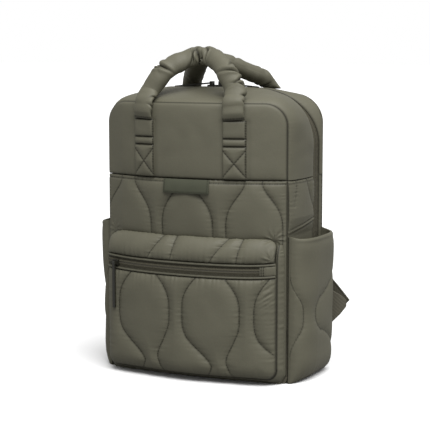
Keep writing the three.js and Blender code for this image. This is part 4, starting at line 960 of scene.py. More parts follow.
def make_back_panel():
    seam = "back"
    corner = SEAMS[seam]["corner"]
    top = SEAMS[seam]["top"]
    z = np.concatenate([np.linspace(PANEL_FOOT, top - corner, 110),
                        top - corner + corner * np.sin(np.linspace(0, np.pi / 2, 14))[1:]])[:, None]
    share = across_panel(110)[None, :]
    x = share * panel_half(seam, z)
    z = z + x * 0
    pad_top = PATCH_TOP - PATCH_HEIGHT - 4
    # Two long pads with an air channel between them, crossed by three sewn grooves
    inside = np.minimum(np.abs(x) - 5, 0.8 * HALF - np.abs(x))
    tall = np.minimum(z - MARGIN, pad_top - z)
    pad = PAD_OUT * pinch(inside, 5) * pinch(tall, 6) * (inside > 0) * (tall > 0)
    grooves = np.min([np.abs(z - at) for at in PAD_GROOVES], axis=0)
    pad *= 1 - 0.75 * bell(grooves, 5)
    edge = edge_distance(seam, x, z)
    y = BACK_Y + pad + 0.25 * drift(x, z, 40, 71) * pinch(edge, 10) - 1.6 * np.exp(-edge / 1.6)
    drop = dome_drop(seam, x, z)
    outer = np.stack([x, y, z - drop], -1)
    inner = np.stack([x, BACK_Y - WALL + x * 0, z - drop], -1)
    sewn = np.minimum(np.abs(inside), np.abs(tall))
    mark = thread_mark(np.where((inside > -3) & (tall > -3), sewn, 9), x + z)
    mark = np.maximum(mark, np.where(pad > 0.5, thread_mark(grooves, x), 0))
    piece = padded_sheet("back_padding", outer, inner, {"stitch": np.clip(mark, 0, 1)})
    finish(piece, backing_nylon(), ["back_panel"])


# Zips


def make_main_zip():
    qs = hoop(SIDE_BREAK + GAP, 240)
    q = qs[:, None]
    share = np.linspace(GAP / ZIP_BAND, 1 - GAP / ZIP_BAND, 25)[None, :]
    across = np.abs(share - 0.5) * ZIP_BAND
    # The two tapes meet over the coil in soft folded edges
    fold = 0.9 * bell(across - 1.6, 1.3) - 0.5 * bell(across, 0.7)
    # Over the top the tapes stand up in a low ridge
    ridge = ZIP_RIDGE * np.clip((CORNER_AT - np.abs(q)) / 0.15, 0, 1) * pinch(across - 15, 4)
    lift = -ZIP_RECESS + ridge + fold + 0.12 * wave(q * STRIP_RUN, 12, 81)
    outer = strip_point("zip_front", "zip_rear", q, share, lift)
    inner = strip_point("zip_front", "zip_rear", q, share, -ZIP_RECESS - ZIP_TAPE_WALL + q * 0)
    # Thread lines run beside the coil; the dark line down the middle is painted shade in the gap where the
    # tapes meet
    mark = np.maximum(thread_mark(across - 8.5, q * STRIP_RUN) * 0.8, bell(across, 0.7))
    run = np.concatenate([[0], np.cumsum(np.linalg.norm(np.diff(outer[:, 12], axis=0), axis=1))])
    uv = np.stack(np.broadcast_arrays(run[:, None], share * ZIP_BAND), -1)
    tape = padded_sheet("main_zip_tape_cloth", outer, inner, {"stitch": np.clip(mark, 0, 1)}, uv)
    finish(tape, zip_tape_weave(), ["main_zip_tape"])
    # The coil's turns show as close ribs in the gap between the folds
    turns = hoop(SIDE_BREAK + 1, 620)
    q = turns[:, None]
    share = 0.5 + np.linspace(-0.5, 0.5, 5)[None, :] * ZIP_COIL / ZIP_BAND
    ridge = 0.35 * np.where(np.arange(len(turns)) % 2, 1.0, -1.0)[:, None]
    top = -ZIP_RECESS + GAP + 0.25 + ridge - 0.5 * (np.abs(share - 0.5) * ZIP_BAND / (ZIP_COIL / 2)) ** 2
    outer = strip_point("zip_front", "zip_rear", q, share, top)
    inner = strip_point("zip_front", "zip_rear", q, share, -ZIP_RECESS - 0.9 + q * 0)
    coil = padded_sheet("main_zip_turns", outer, inner, {"stitch": q * 0 + share * 0}, stride=8)
    finish(coil, coil_nylon(), ["main_zip_coil"])


def pocket_depth(z):
    """How far out the pocket stands at a height, as a share: full to the zip, then curving back."""
    low = np.clip((POCKET_BOTTOM + 20 - z) / 20, 0, 1)
    high = np.clip((z - POCKET_ZIP_HIGH) / (POCKET_TOP - POCKET_ZIP_HIGH), 0, 1)
    return (0.14 + 0.86 * (1 - high ** 2) ** 0.8) * (1 - 0.14 * low ** 2)


def pocket_y(x, z, inward=0.0):
    panel = front_y(x, z)
    out = FRONT_Y - POCKET_OUT - POCKET_BOW * (1 - (x / POCKET_HALF) ** 2)
    return np.minimum(mix(panel, out, pocket_depth(z)) + inward, panel - GAP)


def zip_rise(x, z):
    """How far the pocket's zip and the cloth beside it are drawn up towards the pocket's sides."""
    side = np.where(x > 0, 3.0, 2.4) * (np.abs(x) / POCKET_HALF) ** 5
    middle, half = (POCKET_ZIP_LOW + POCKET_ZIP_HIGH) / 2, (POCKET_ZIP_HIGH - POCKET_ZIP_LOW) / 2
    away = np.maximum(0, np.abs(z - middle) - half)
    fade = np.where(z > middle, POCKET_TOP - POCKET_ZIP_HIGH, 70.0)
    return side * np.clip(1 - away / fade, 0, 1) ** 1.5


def shelf_sag(z):
    """How far the soft shelf hangs below its pattern, more towards its top."""
    start = POCKET_ZIP_HIGH + 6
    return SHELF_DROP * np.clip((z - start) / (POCKET_TOP - start), 0, 1.1) ** 1.3


def pocket_edge(x):
    return POCKET_TURN_BACK * np.exp(-np.maximum(0, POCKET_HALF - np.abs(x)) * 1.6 / 9)


def make_pocket_face():
    top = POCKET_ZIP_LOW - GAP
    hem_rows = POCKET_BOTTOM + np.array([0, 0.5, 1.2, 2])
    z = np.concatenate([hem_rows, np.linspace(POCKET_BOTTOM + 3, top, 108)])[:, None]
    dip = np.clip((POCKET_BOTTOM + POCKET_CORNER - z) / POCKET_CORNER, 0, 1)
    reach = POCKET_HALF - POCKET_CORNER * (1 - np.sqrt(1 - dip ** 2))
    x = across_panel(206)[None, :] * reach
    z = z + x * 0
    skew = lambda h: POCKET_SKEW * np.clip((64 - h) / 40, 0, 1) ** 1.3
    relief, gap = quilt_relief(x, z, bulb_lines(POCKET_QUILT, skew), 101)
    edge = np.minimum(reach - np.abs(x), z - POCKET_BOTTOM)
    aside = POCKET_HALF - POCKET_CORNER - np.abs(x)
    bend = POCKET_CORNER - np.hypot(aside, POCKET_BOTTOM + POCKET_CORNER - z)
    corner = (np.abs(x) > POCKET_HALF - POCKET_CORNER) & (z < POCKET_BOTTOM + POCKET_CORNER)
    edge = np.maximum(0, np.where(corner, bend, edge))
    under = top - z
    pinch_at = sizes().seam_pinch / MM
    flat = pinch(edge, pinch_at) * pinch(under, pinch_at)
    around = np.where(np.abs(x) > POCKET_HALF - 20, z, x)
    gathers = 0.7 * wave(around, 8, 103) * np.exp(-edge / 6) * pinch(edge, 1)
    gathers += 0.8 * wave(x, 7.5, 104) * np.exp(-under / 7) * pinch(under, 1)
    gathers += 0.8 * np.where(x > 60, wave(z - 0.6 * x, 8, 105), 0) * bell(edge - 10, 9) * bell(z - 125, 22)
    roll = 3.4 * np.exp(-edge / 2.0) + 1.4 * np.exp(-under / 1.4)
    y = pocket_y(x, z) + pocket_edge(x) - relief * flat - gathers + roll
    rise = zip_rise(x, z)
    outer = np.stack([x, y, z + rise], -1)
    inner = np.stack([x, pocket_y(x, z, WALL) + pocket_edge(x), z + rise], -1)
    mark = np.maximum(thread_mark(gap, z), np.maximum(seam_shade(edge, 1.4), seam_shade(under, 0.8)))
    piece = padded_sheet("pocket_quilting", outer, inner, {"stitch": mark})
    finish(piece, shell_nylon(), ["pocket_face"])


def make_pocket_shelf():
    low = POCKET_ZIP_HIGH + GAP
    turn = np.linspace(0, np.pi / 2, 50)[:, None]
    z = low + (POCKET_TOP - low) * np.sin(turn)
    share = across_panel(200)[None, :]
    rise = np.clip((z - POCKET_TOP + POCKET_CORNER) / POCKET_CORNER, 0, 1)
    reach = POCKET_HALF - 0.6 - POCKET_CORNER * (1 - np.sqrt(np.maximum(0, 1 - rise ** 2)))
    x = share * reach
    z = z + x * 0
    high = (z - low) / (POCKET_TOP - low)
    lines = []
    for k in (0, 1):
        for side in (-1, 1):
            lines.append(mix(SHELF_QUILT["low_at"], SHELF_QUILT["high_at"], high) + k * SHELF_QUILT["pitch"]
                         + side * mix(SHELF_QUILT["low_half"], SHELF_QUILT["high_half"], high))
    gap = np.min([np.abs(x - line) for line in lines], axis=0)
    base = np.stack([x, pocket_y(x, z), z], -1)
    normal = grid_normals(base)
    normal = np.where((normal[..., 1:2] > 0), -normal, normal)
    arc = turn / (np.pi / 2) * SHELF_ARC + x * 0
    near, far, ends = arc, SHELF_ARC - arc, reach - np.abs(x)
    puff = 5.0 * pinch(gap, 6.5) * pinch(near, 7) * pinch(far, 7) * pinch(ends, 8)
    puckers = 0.6 * wave(arc, 6.5, 111) * np.exp(-gap / 4) * pinch(gap, 0.8)
    puckers += 0.7 * wave(x, 9, 112) * (np.exp(-near / 7) + np.exp(-far / 7))
    # Diagonal wrinkles pull in from the corners
    puckers += fan(x, arc, 121, 50, 26, 8, 0.8) + fan(x, arc, -122, 50, 22, 7, 0.5)
    puckers += fan(x, arc, 124, 4, 16, 9, 0.6)
    sink = 2.0 * np.exp(-near / 1.4) + 1.8 * np.exp(-far / 1.5) + 2.6 * np.exp(-ends / 2.0)
    soft = 0.5 * drift(x, arc, 60, 115) * pinch(ends, 20)
    outer = base + normal * (puff + puckers - sink + soft)[..., None]
    outer[..., 2] = np.maximum(outer[..., 2], low)
    inner = base - normal * WALL * 0.8
    inner[..., 2] = np.maximum(inner[..., 2], low)
    inner[..., 1] = np.minimum(inner[..., 1], front_y(inner[..., 0], inner[..., 2]) - GAP)
    outer[..., 1] = np.minimum(outer[..., 1], front_y(outer[..., 0], outer[..., 2]) - GAP)
    rise = zip_rise(x, z)
    outer[..., 2] += rise - shelf_sag(outer[..., 2])
    inner[..., 2] += rise - shelf_sag(inner[..., 2])
    mark = np.maximum(thread_mark(gap, arc), seam_shade(np.minimum(near, far), 0.9))
    mark = np.maximum(mark, seam_shade(ends, 1.2))
    piece = padded_sheet("pocket_shelf_quilting", outer, inner, {"stitch": np.clip(mark, 0, 1)})
    finish(piece, shell_nylon(), ["pocket_shelf"])


def make_pocket_boxing():
    half, low, corner = POCKET_HALF, POCKET_BOTTOM - 1, POCKET_CORNER
    up = np.linspace(POCKET_TOP - 9, low + corner, 94)
    turn = np.linspace(0, np.pi / 2, 12)[1:-1]
    flat = np.linspace(-half + corner, half - corner, 90)
    left = np.stack([up * 0 - half, up, up * 0 - 1, up * 0], -1)
    across, down = np.cos(turn), np.sin(turn)
    bend = np.stack([-half + corner * (1 - across), low + corner * (1 - down), -across, -down], -1)
    foot = np.stack([flat, flat * 0 + low, flat * 0, flat * 0 - 1], -1)
    mirror = np.array([-1, 1, -1, 1])
    path = np.concatenate([left, bend, foot, (bend * mirror)[::-1], (left * mirror)[::-1]])
    share = np.linspace(0, 1, 14)[None, :]
    x0, z0, nx, nz = (path[:, k:k + 1] for k in range(4))
    run = np.arange(len(path))[:, None] * 2.1
    lift = 2.2 * np.sin(np.pi * share) ** 0.7 + 0.45 * wave(run, 9, 121) * np.sin(np.pi * share)
    lift = lift - 0.5 * np.exp(-share * BOXING_WIDTH / 1.5) - 0.5 * np.exp(-(1 - share) * BOXING_WIDTH / 1.5)
    # It flares out towards the body, to the body's own seam
    flare = (np.abs(nx) * (HALF - POCKET_HALF - 1.2) + np.abs(nz) * 4.0) * share ** 1.6
    # Its ends run out under the shelf's round corners in small puckers
    fade = np.clip((POCKET_TOP - 5 - z0) / 22, 0, 1)
    lift = lift * fade + 1.2 * wave(run, 6, 123) * bell(z0 - POCKET_TOP + 22, 12) * np.sin(np.pi * share)
    flare = flare * (0.35 + 0.65 * fade)

    def wall(out):
        x, z = x0 + nx * out, z0 + nz * out
        start = pocket_y(x0 + nx * 0, np.maximum(z, POCKET_BOTTOM), WALL) + pocket_edge(x0) + 0.9
        return np.stack([x, mix(start, front_y(x, z) - 2 * GAP, share), z - shelf_sag(z)], -1)

    mark = seam_shade(share * BOXING_WIDTH, 1.0) + run * 0
    piece = padded_sheet("pocket_boxing_cloth", wall(lift + flare), wall(flare - 3.0), {"stitch": mark})
    finish(piece, shell_nylon(), ["pocket_boxing"])


def pocket_band(name, low, high, start, end, out, wall, columns=180, rows=9, mark=None):
    """A band across the pocket's front. out gives its face at a share of its height and a place along it."""
    x = np.linspace(start, end, columns)[None, :]
    share = np.linspace(0, 1, rows)[:, None]
    z = mix(low, high, share) + x * 0
    x = x + share * 0
    y = pocket_y(x, z) + pocket_edge(x)
    rise = zip_rise(x, z)
    outer = np.stack([x, y - out(share, x), z + rise], -1)
    inner = np.stack([x, y + wall, z + rise], -1)
    uv = np.stack([x, z], -1)
    stitch = mark(share, x) if mark else x * 0
    return padded_sheet(name, outer, inner, {"stitch": np.clip(stitch, 0, 1) + x * 0}, uv)


def make_pocket_zip():
    reach = POCKET_HALF - 1
    low_top = POCKET_ZIP_LOW + BINDING_HEIGHT
    high_foot = POCKET_ZIP_HIGH - BINDING_HEIGHT
    end_x = reach - ZIP_END_WIDTH
    # Folded cloth beside the tape, above and below
    roll = (lambda share, x: 1.3 * np.sin(np.pi * np.clip(share, 0.02, 1)) ** 0.6
            - 0.4 + 0.25 * wave(x, 11, 131))
    # Painted shade darkens both edges of each binding, where its fold tucks under
    binding_edge_shade = lambda share, _: 0.85 * bell(np.minimum(share, 1 - share) * BINDING_HEIGHT, 0.75)
    lower = pocket_band("pocket_binding_low", POCKET_ZIP_LOW, low_top, -reach, reach, roll, 2,
                        rows=13, mark=binding_edge_shade)
    finish(lower, shell_nylon(), ["pocket_binding_lower"])
    upper = pocket_band("pocket_binding_high", high_foot, POCKET_ZIP_HIGH, -reach, reach, roll, 2,
                        rows=13, mark=binding_edge_shade)
    finish(upper, shell_nylon(), ["pocket_binding_upper"])

    def tape_face(share, _):
        away = np.abs(share - 0.5) * POCKET_TAPE
        return -ZIP_RECESS + 1.0 * bell(away - 1.5, 1.3) - 0.4 * bell(away, 0.6)

    # Beside the thread lines, the dark line down the middle is painted shade in the gap where the tapes meet
    def tape_mark(share, x):
        away = np.abs(share - 0.5) * POCKET_TAPE
        return np.maximum(bell(away, 0.6), 0.75 * thread_mark(away - TOPSTITCH, x))

    def end_face(share, x):
        return (0.9 * np.sin(np.pi * share) ** 0.5 - 0.2 - 0.6 * bell(x - end_x - 2, 0.8)
                + 0.2 * wave(x, 7, 133))

    def end_mark(share, x):
        rows = [thread_mark(x - end_x - at, share * POCKET_TAPE) for at in (2, 5)]
        return np.maximum(*rows)

    tape = pocket_band("pocket_zip_tape_cloth", low_top + GAP, high_foot - GAP, -reach, end_x - GAP,
                       tape_face, 2.2, rows=25, mark=tape_mark)
    finish(tape, zip_tape_weave(), ["pocket_zip_tape"])
    middle = (POCKET_ZIP_LOW + POCKET_ZIP_HIGH) / 2
    ribs = (lambda share, x: -ZIP_RECESS + 0.55 - 1.4 * (share - 0.5) ** 2
            + 0.3 * np.sign(np.sin(x * np.pi / 1.1)))
    coil = pocket_band("pocket_zip_turns", middle - POCKET_COIL / 2, middle + POCKET_COIL / 2, -reach,
                       end_x - GAP, ribs, 1.4, columns=430, rows=5)
    finish(coil, coil_nylon(), ["pocket_zip_coil"])
    cover = pocket_band("pocket_zip_stop", low_top + GAP, high_foot - GAP, end_x, reach, end_face, 3.2,
                        columns=40, rows=14, mark=end_mark)
    finish(cover, shell_nylon(), ["pocket_zip_end"])


# Side pockets


def make_side_pockets():
    for name, side, more in (("left", -1, LEFT_POCKET_MORE), ("right", 1, 0.0)):
        start, end = FRONT_Y + WALL + 1, BACK_Y - 0.5
        middle, reach = (start + end) / 2, (end - start) / 2
        power = 2 / SIDE_POCKET_SQUARE
        top = SIDE_POCKET_TOP + more
        up = np.concatenate([np.linspace(1, 0.1, 104), np.linspace(0.1, 0, 16)[1:]])[:, None]
        share = (across_panel(112, (0.996, 0.988)) / 2 + 0.5)[None, :]
        z = mix(SIDE_POCKET_FOOT, top, up)
        angle = (share - 0.5) * np.pi
        along = np.sign(angle) * np.abs(np.sin(angle)) ** power
        bulge = np.maximum(0, np.cos(angle)) ** power
        foot = np.clip(up / 0.15, 0, 1)
        # Slimmer than the frame's, but for its open rim
        out = SIDE_POCKET_OUT - SIDE_POCKET_SLIM * (1 - up ** 5) + more * (1.2 * up ** 2 - 0.2)
        out = out * (0.25 + 0.75 * np.sqrt(1 - (1 - foot) ** 2) ** 0.8)
        front = 0.02 + 0.22 * np.exp(-np.abs((up - 0.445) / 0.17) ** 3)
        rear = 0.93 - 0.52 * np.exp(-np.abs((up - 0.445) / 0.25) ** 2.4)
        girth = SIDE_POCKET_GIRTH
        gap = np.minimum(np.abs(share - front), np.abs(share - rear)) * girth * 0.85
        ends = np.minimum(share, 1 - share) * girth
        under = (1 - up) * top
        base = up * top
        puff = 2.8 * pinch(gap, 6.5) * pinch(under - 6, 7) * pinch(ends, 8) * pinch(base, 9)
        puckers = 0.5 * wave(z, 6.5, 141 + side) * np.exp(-gap / 4.5) * pinch(gap, 0.8)
        puckers += 0.9 * wave(z, 8, 143 + side) * np.exp(-ends / 8) * pinch(ends, 1)
        puckers += 0.8 * wave(share * girth, 10, 145 + side) * np.exp(-base / 9)
        soft = 0.9 * drift(share * girth, z, 80, 147 + side) * pinch(under, 8)
        hem = 0.9 * pinch(under, 1.5) * bell(under - 3, 4)
        lift = puff + puckers + soft + hem - 0.8 * np.exp(-under / 1.0)
        sag = (RIM_SAG * np.sin(np.pi * np.sqrt(1 - share)) + 2.5 * bell(share - 0.2, 0.25)) * (z / top) ** 6
        close = np.minimum(1, bulge * 3)
        # Its rear end is sewn into the side wall
        tuck = REAR_TUCK * np.exp(-(1 - share) * girth / 4) * np.clip((z - SIDE_POCKET_FOOT) / 30, 0, 1)
        raised = LEFT_RIM_RISE * up ** 7 * (side < 0)
        x = side * (HALF + GAP + np.maximum(0, out * bulge + lift * close) - tuck)
        y = middle + along * reach
        outer = np.stack(np.broadcast_arrays(x, y, z - sag + raised), -1)
        inside = np.maximum(out - SIDE_POCKET_WALL, out * 0.3) * bulge
        floor = np.where(z < SIDE_POCKET_TOP * 0.2, np.minimum(SIDE_POCKET_WALL, z * 0.2), 0)
        inner_y = middle + along * (reach - SIDE_POCKET_WALL)
        inner_x = side * (HALF + GAP + inside - tuck)
        inner = np.stack(np.broadcast_arrays(inner_x, inner_y, z - sag + raised + floor), -1)
        mark = np.maximum(thread_mark(gap, z) * (ends > 3), seam_shade(ends, 1.3))
        mark = np.maximum(mark, seam_shade(base, 1.5))
        piece = padded_sheet(f"side_pocket_quilting_{name}", outer, inner, {"stitch": np.clip(mark, 0, 1)})
        finish(piece, shell_nylon(), [f"side_pocket_{name}"])


# Handles


def yoke_surface(x, z):
    edge = pinch((panel_half("front", z) - np.abs(x)) * 1.2, 9)
    return front_y(x, z) - 2.6 * edge * pinch(z - CROSS_SEAM, 9) * pinch(SEAMS["front"]["top"] - z, 9)


def rear_top(x, y):
    """Height of the strip behind the main zip, over the top of the bag."""
    heights = []
    for seam in ("zip_rear", "back"):
        half, top, dome, corner = (SEAMS[seam][key] for key in ("half", "top", "dome", "corner"))
        past = np.clip(np.abs(x) - (half - corner), 0, corner - 1)
        heights.append(top - dome * (x / half) ** 2 - corner + np.sqrt(corner ** 2 - past ** 2))
    start = SEAM_DEPTH["zip_rear"](x, 0)
    share = np.clip((y - start) / (SEAM_DEPTH["back"](x, 0) - start), 0, 1)
    return mix(heights[0], heights[1], share) + STRIP_CROWN


def handle_rings(rows, facing, folds, seed, count=430, around=76):
    """Rings of a padded tube along a path, with its folds: each has a place along the whole path, an angle,
    and its spread, depth, width and slant."""
    rows = rows + [dict(row, x=-row["x"]) for row in rows[-2::-1]]
    path, share, length = smooth_path([(r["x"], r["y"], r["z"]) for r in rows], count)
    stations = np.linspace(0, 1, len(rows))
    wide, thick, turn = (np.interp(share, stations, [r[key] for r in rows])
                         for key in ("wide", "thick", "turn"))
    tangent = np.gradient(path, axis=0)
    tangent /= np.linalg.norm(tangent, axis=1, keepdims=True)
    slope = 2 * SEAM_BOW * HANDLE_HALF / HALF ** 2
    local = np.tile(np.asarray(facing, float), (count, 1))
    local[:, 0] = np.sign(path[:, 0]) * slope * turn
    across = np.cross(tangent, local)
    across /= np.linalg.norm(across, axis=1, keepdims=True)
    out = np.cross(across, tangent)
    angle = np.linspace(0, 2 * np.pi, around, endpoint=False)[None, :]
    along = np.linspace(0, length, count)[:, None]
    relief = 0.35 * drift(along, angle * 13, 42, seed) + 0.5 * wave(along, 26, seed + 1)
    shade = 0 * relief
    for fold in folds:
        off = (angle - math.radians(fold["angle"]) + np.pi) % (2 * np.pi) - np.pi
        place = along - fold["at"] * length - fold.get("slant", 0) * off * 12
        reach = bell(off, math.radians(fold["spread"]))
        width = fold["width"]
        swell = bell(place - 2.6 * width, 1.8 * width) + bell(place + 2.6 * width, 1.8 * width)
        relief = relief - fold["depth"] * reach * np.exp(-np.abs(place / width) ** 1.3)
        relief = relief + 0.4 * fold["depth"] * reach * swell
        # Painted shade darkens each fold's crease by its depth, and goes into the stitch attribute with the
        # thread
        shade = np.maximum(shade, min(1, fold["depth"] / 3) * reach * bell(place, 1.0))
    a = (wide / 2)[:, None] + relief
    b = (thick / 2)[:, None] + relief
    square = 0.92
    c = np.sign(np.cos(angle)) * np.abs(np.cos(angle)) ** square
    s = np.sign(np.sin(angle)) * np.abs(np.sin(angle)) ** square
    rings = path[:, None] + across[:, None] * (a * c)[..., None] + out[:, None] * (b * s)[..., None]
    uv = np.stack(np.broadcast_arrays(along, angle * 13), -1)
    return rings, uv, along, length, shade


def make_handles():
    face = float(yoke_surface(HANDLE_HALF, HANDLE_HEM)) - GAP
    rise = HANDLE_PEAK - HANDLE_HEM
    meet = HANDLE_MEET - PINCH_THICK / 2 - GAP
    pinched = PINCH_THICK / HANDLE_THICK
    # x, back, press, up, wide, thick and turn of each station, as shares, from the hem to the middle
    front_rows = [
        (1, 0, 1, 0, 1.06, 0.24, 1), (1, 0, 1, 0.11, 1.02, 0.42, 1), (0.99, 0.03, 1, 0.22, 1, 0.42, 1),
        (0.98, 0.055, 1, 0.3, 0.99, 0.44, 0.8), (0.965, 0.09, 0.1, 0.37, 0.98, 0.6, 0.6),
        (0.935, 0.23, 0, 0.46, 0.97, 0.84, 0.4), (0.83, 0.33, 0, 0.61, 0.96, 0.92, 0.2),
        (0.695, 0.4, 0, 0.75, 0.96, 0.88, 0), (0.56, 0.54, 0, 0.855, 0.93, 0.88, 0),
        (0.385, 0.725, 0, 0.945, 0.92, 0.9, 0), (0.2, 0.9, 0, 1.005, 0.9, 0.8, 0),
        (0.075, 0.945, 0, 1.035, 0.84, 0.66, 0), (0, 1, 0, 1.01, PINCH_WIDE, pinched, 0),
    ]
    rows = [dict(x=-r[0] * HANDLE_HALF, y=mix(face, meet, r[1]) - r[2] * r[5] * HANDLE_THICK / 2,
                 z=HANDLE_HEM + r[3] * rise, wide=r[4] * HANDLE_WIDTH, thick=r[5] * HANDLE_THICK, turn=r[6])
            for r in front_rows]
    folds = [
        dict(at=0.30, angle=215, spread=70, depth=5.6, width=1.7, slant=0.4),
        dict(at=0.285, angle=110, spread=60, depth=4.2, width=1.5, slant=-0.3),
        dict(at=0.262, angle=140, spread=40, depth=2.4, width=1.3, slant=-0.5),
        dict(at=0.33, angle=190, spread=36, depth=2.0, width=1.6, slant=0.5),
        dict(at=0.18, angle=200, spread=34, depth=1.8, width=1.8, slant=0.3),
        dict(at=0.11, angle=10, spread=40, depth=1.8, width=1.7, slant=-0.4),
        dict(at=0.065, angle=0, spread=36, depth=1.6, width=1.5, slant=0.3),
        dict(at=0.43, angle=60, spread=46, depth=2.4, width=2.0, slant=0.6),
        dict(at=0.455, angle=95, spread=60, depth=3.4, width=1.5, slant=0.5),
        dict(at=0.478, angle=70, spread=70, depth=4.0, width=1.4, slant=-0.2),
        dict(at=0.497, angle=90, spread=66, depth=4.6, width=1.3, slant=0.2),
        dict(at=0.517, angle=75, spread=60, depth=4.2, width=1.4, slant=-0.4),
        dict(at=0.54, angle=110, spread=60, depth=3.4, width=1.5, slant=-0.5),
        dict(at=0.57, angle=200, spread=50, depth=2.4, width=2.0, slant=0.5),
        dict(at=0.70, angle=175, spread=40, depth=2.0, width=1.8, slant=-0.6),
        dict(at=0.75, angle=150, spread=70, depth=4.2, width=1.5, slant=0.5),
        dict(at=0.795, angle=175, spread=60, depth=3.4, width=1.4, slant=-0.3),
        dict(at=0.83, angle=180, spread=56, depth=3.8, width=1.4, slant=0.4),
        dict(at=0.87, angle=180, spread=38, depth=2.4, width=1.6, slant=-0.3),
        dict(at=0.915, angle=195, spread=34, depth=2.0, width=1.6, slant=0.3),
    ]
    rings, uv, along, length, shade = handle_rings(rows, (0, -1, 0.25), folds, 151)
    hem = np.minimum(along, length - along)
    mark = np.clip(shade + thread_mark(hem - 2.6, uv[..., 1]) + seam_shade(hem, 1.5), 0, 1)
    piece = ring_solid("handle_front_tube", rings, {"stitch": mark}, uv)
    finish(piece, shell_nylon(), ["handle_front"])

    seat = HANDLE_HALF / (HALF + SEAMS["zip_front"]["top"] - SIDE_TOP - SEAMS["zip_front"]["corner"] / 2)
    leg_z = float(strip_point("zip_rear", "back", np.array(seat), 0.75, STRIP_CROWN)[2]) + 3.6
    rise = HANDLE_PEAK - 1 - leg_z
    meet = HANDLE_MEET + PINCH_WIDE * HANDLE_WIDTH / 2 + 2 * GAP - MEET_CLOSER
    # x, ahead, up, wide and thick of each station
    rear_rows = [
        (0.97, 0, 0, 1.05, 0.4), (0.94, 0.03, 0.12, 1, 0.66), (0.885, 0.1, 0.24, 0.94, 0.86),
        (0.76, 0.25, 0.37, 0.96, 0.92), (0.6, 0.46, 0.54, 0.98, 0.95), (0.4, 0.69, 0.76, 0.98, 0.95),
        (0.2, 0.87, 0.95, 0.94, 0.76), (0.08, 0.965, 0.99, 0.86, 0.56), (0, 1, 1, PINCH_WIDE, pinched),
    ]
    rows = [dict(x=-r[0] * HANDLE_HALF, y=mix(REAR_LEG_Y, meet, r[1]), z=leg_z + r[2] * rise,
                 wide=r[3] * HANDLE_WIDTH, thick=r[4] * HANDLE_THICK, turn=0) for r in rear_rows]
    folds = [
        dict(at=0.12, angle=270, spread=50, depth=2.4, width=2.4),
        dict(at=0.47, angle=100, spread=70, depth=2.0, width=2.4, slant=0.4),
        dict(at=0.53, angle=80, spread=70, depth=2.0, width=2.4, slant=-0.4),
        dict(at=0.68, angle=100, spread=60, depth=1.6, width=2.0, slant=0.5),
        dict(at=0.84, angle=100, spread=70, depth=1.8, width=1.8, slant=-0.4),
        dict(at=0.90, angle=250, spread=60, depth=3.2, width=1.8, slant=0.3),
        dict(at=0.93, angle=250, spread=50, depth=2.6, width=1.6),
        dict(at=0.955, angle=230, spread=60, depth=2.2, width=1.5, slant=0.3),
    ]
    rings, uv, along, length, shade = handle_rings(rows, (0, 0.3, 1), folds, 161)
    hem = np.minimum(along, length - along)
    # Each end runs down flat onto the strip that it is sewn to
    height = rings[..., 2] - rings[..., 2].mean(axis=1, keepdims=True)
    seat_z = rear_top(rings[..., 0], rings[..., 1]) + 1.1 + 0.22 * height
    share = np.clip(1 - hem / REAR_END, 0, 1)
    rings[..., 2] += (seat_z - rings[..., 2]) * share ** 2 * (3 - 2 * share)
    mark = np.clip(shade + seam_shade(hem, 1.4), 0, 1)
    piece = ring_solid("handle_rear_tube", rings, {"stitch": mark}, uv)
    finish(piece, shell_nylon(), ["handle_rear"])


def make_handle_tabs():
    low, high = CROSS_SEAM + 2, HANDLE_HEM - 3 * GAP
    for name, side in (("left", -1), ("right", 1)):
        z = np.linspace(high, low, 90)[:, None]
        along = np.linspace(-TAB_WIDTH / 2, TAB_WIDTH / 2, 46)[None, :]
        x = side * HANDLE_HALF + along + z * 0
        zz = z + along * 0
        edge = TAB_WIDTH / 2 - np.abs(along) + z * 0
        # Two stitch lines across, then a crossed box down to the cross seam
        lines = np.min([np.abs(zz - at) for at in TAB_ROWS], axis=0)
        box_low, inset = low + 2, TAB_WIDTH / 2
        tall = (zz - (TAB_BOX_TOP + box_low) / 2) / (TAB_BOX_TOP - box_low)
        lean = along / (2 * inset)
        cross = np.minimum(np.abs(lean - tall), np.abs(lean + tall)) * 2 * inset * 0.72
        in_box = (zz < TAB_BOX_TOP) & (zz > box_low) & (np.abs(along) < inset)
        cross = np.where(in_box, cross, 9)
        sewn = np.minimum(lines, cross)
        puff = 2.3 * pinch(sewn, 3.0) * pinch(edge, 1.6) * pinch(zz - low, 3) * pinch(high - zz, 1.2)
        y = yoke_surface(x, zz) - TAB_CLEAR
        face = y - TAB_THICK * 0.75 - puff + 1.2 * np.exp(-edge / 0.9) + 0.15 * drift(x, zz, 20, 171 + side)
        face = face + 1.1 * bell(lines, 1.2)
        outer = np.stack([x, face, zz], -1)
        # The rows across show as solid dark lines: their thread with painted shade in the pucker; the hem
        # gets painted shade in its gap
        mark = np.maximum(np.maximum(bell(lines, 1.3), thread_mark(cross, zz)), seam_shade(high - zz, 1.6))
        # A dark dashed line runs down the right edge: the needle line with painted shadow beside the tab; the
        # left edge gets only faint painted shade
        right, left = TAB_WIDTH / 2 - along + z * 0, TAB_WIDTH / 2 + along + z * 0
        mark = np.maximum(mark, np.maximum(thread_mark(right - 0.6, zz), 0.45 * seam_shade(left, 0.8)))
        inner = np.stack([x, y, zz], -1)
        piece = padded_sheet(f"handle_tab_cloth_{name}", outer, inner, {"stitch": np.clip(mark, 0, 1)})
        finish(piece, shell_nylon(), [f"handle_tab_{name}"])


# Straps behind the bag


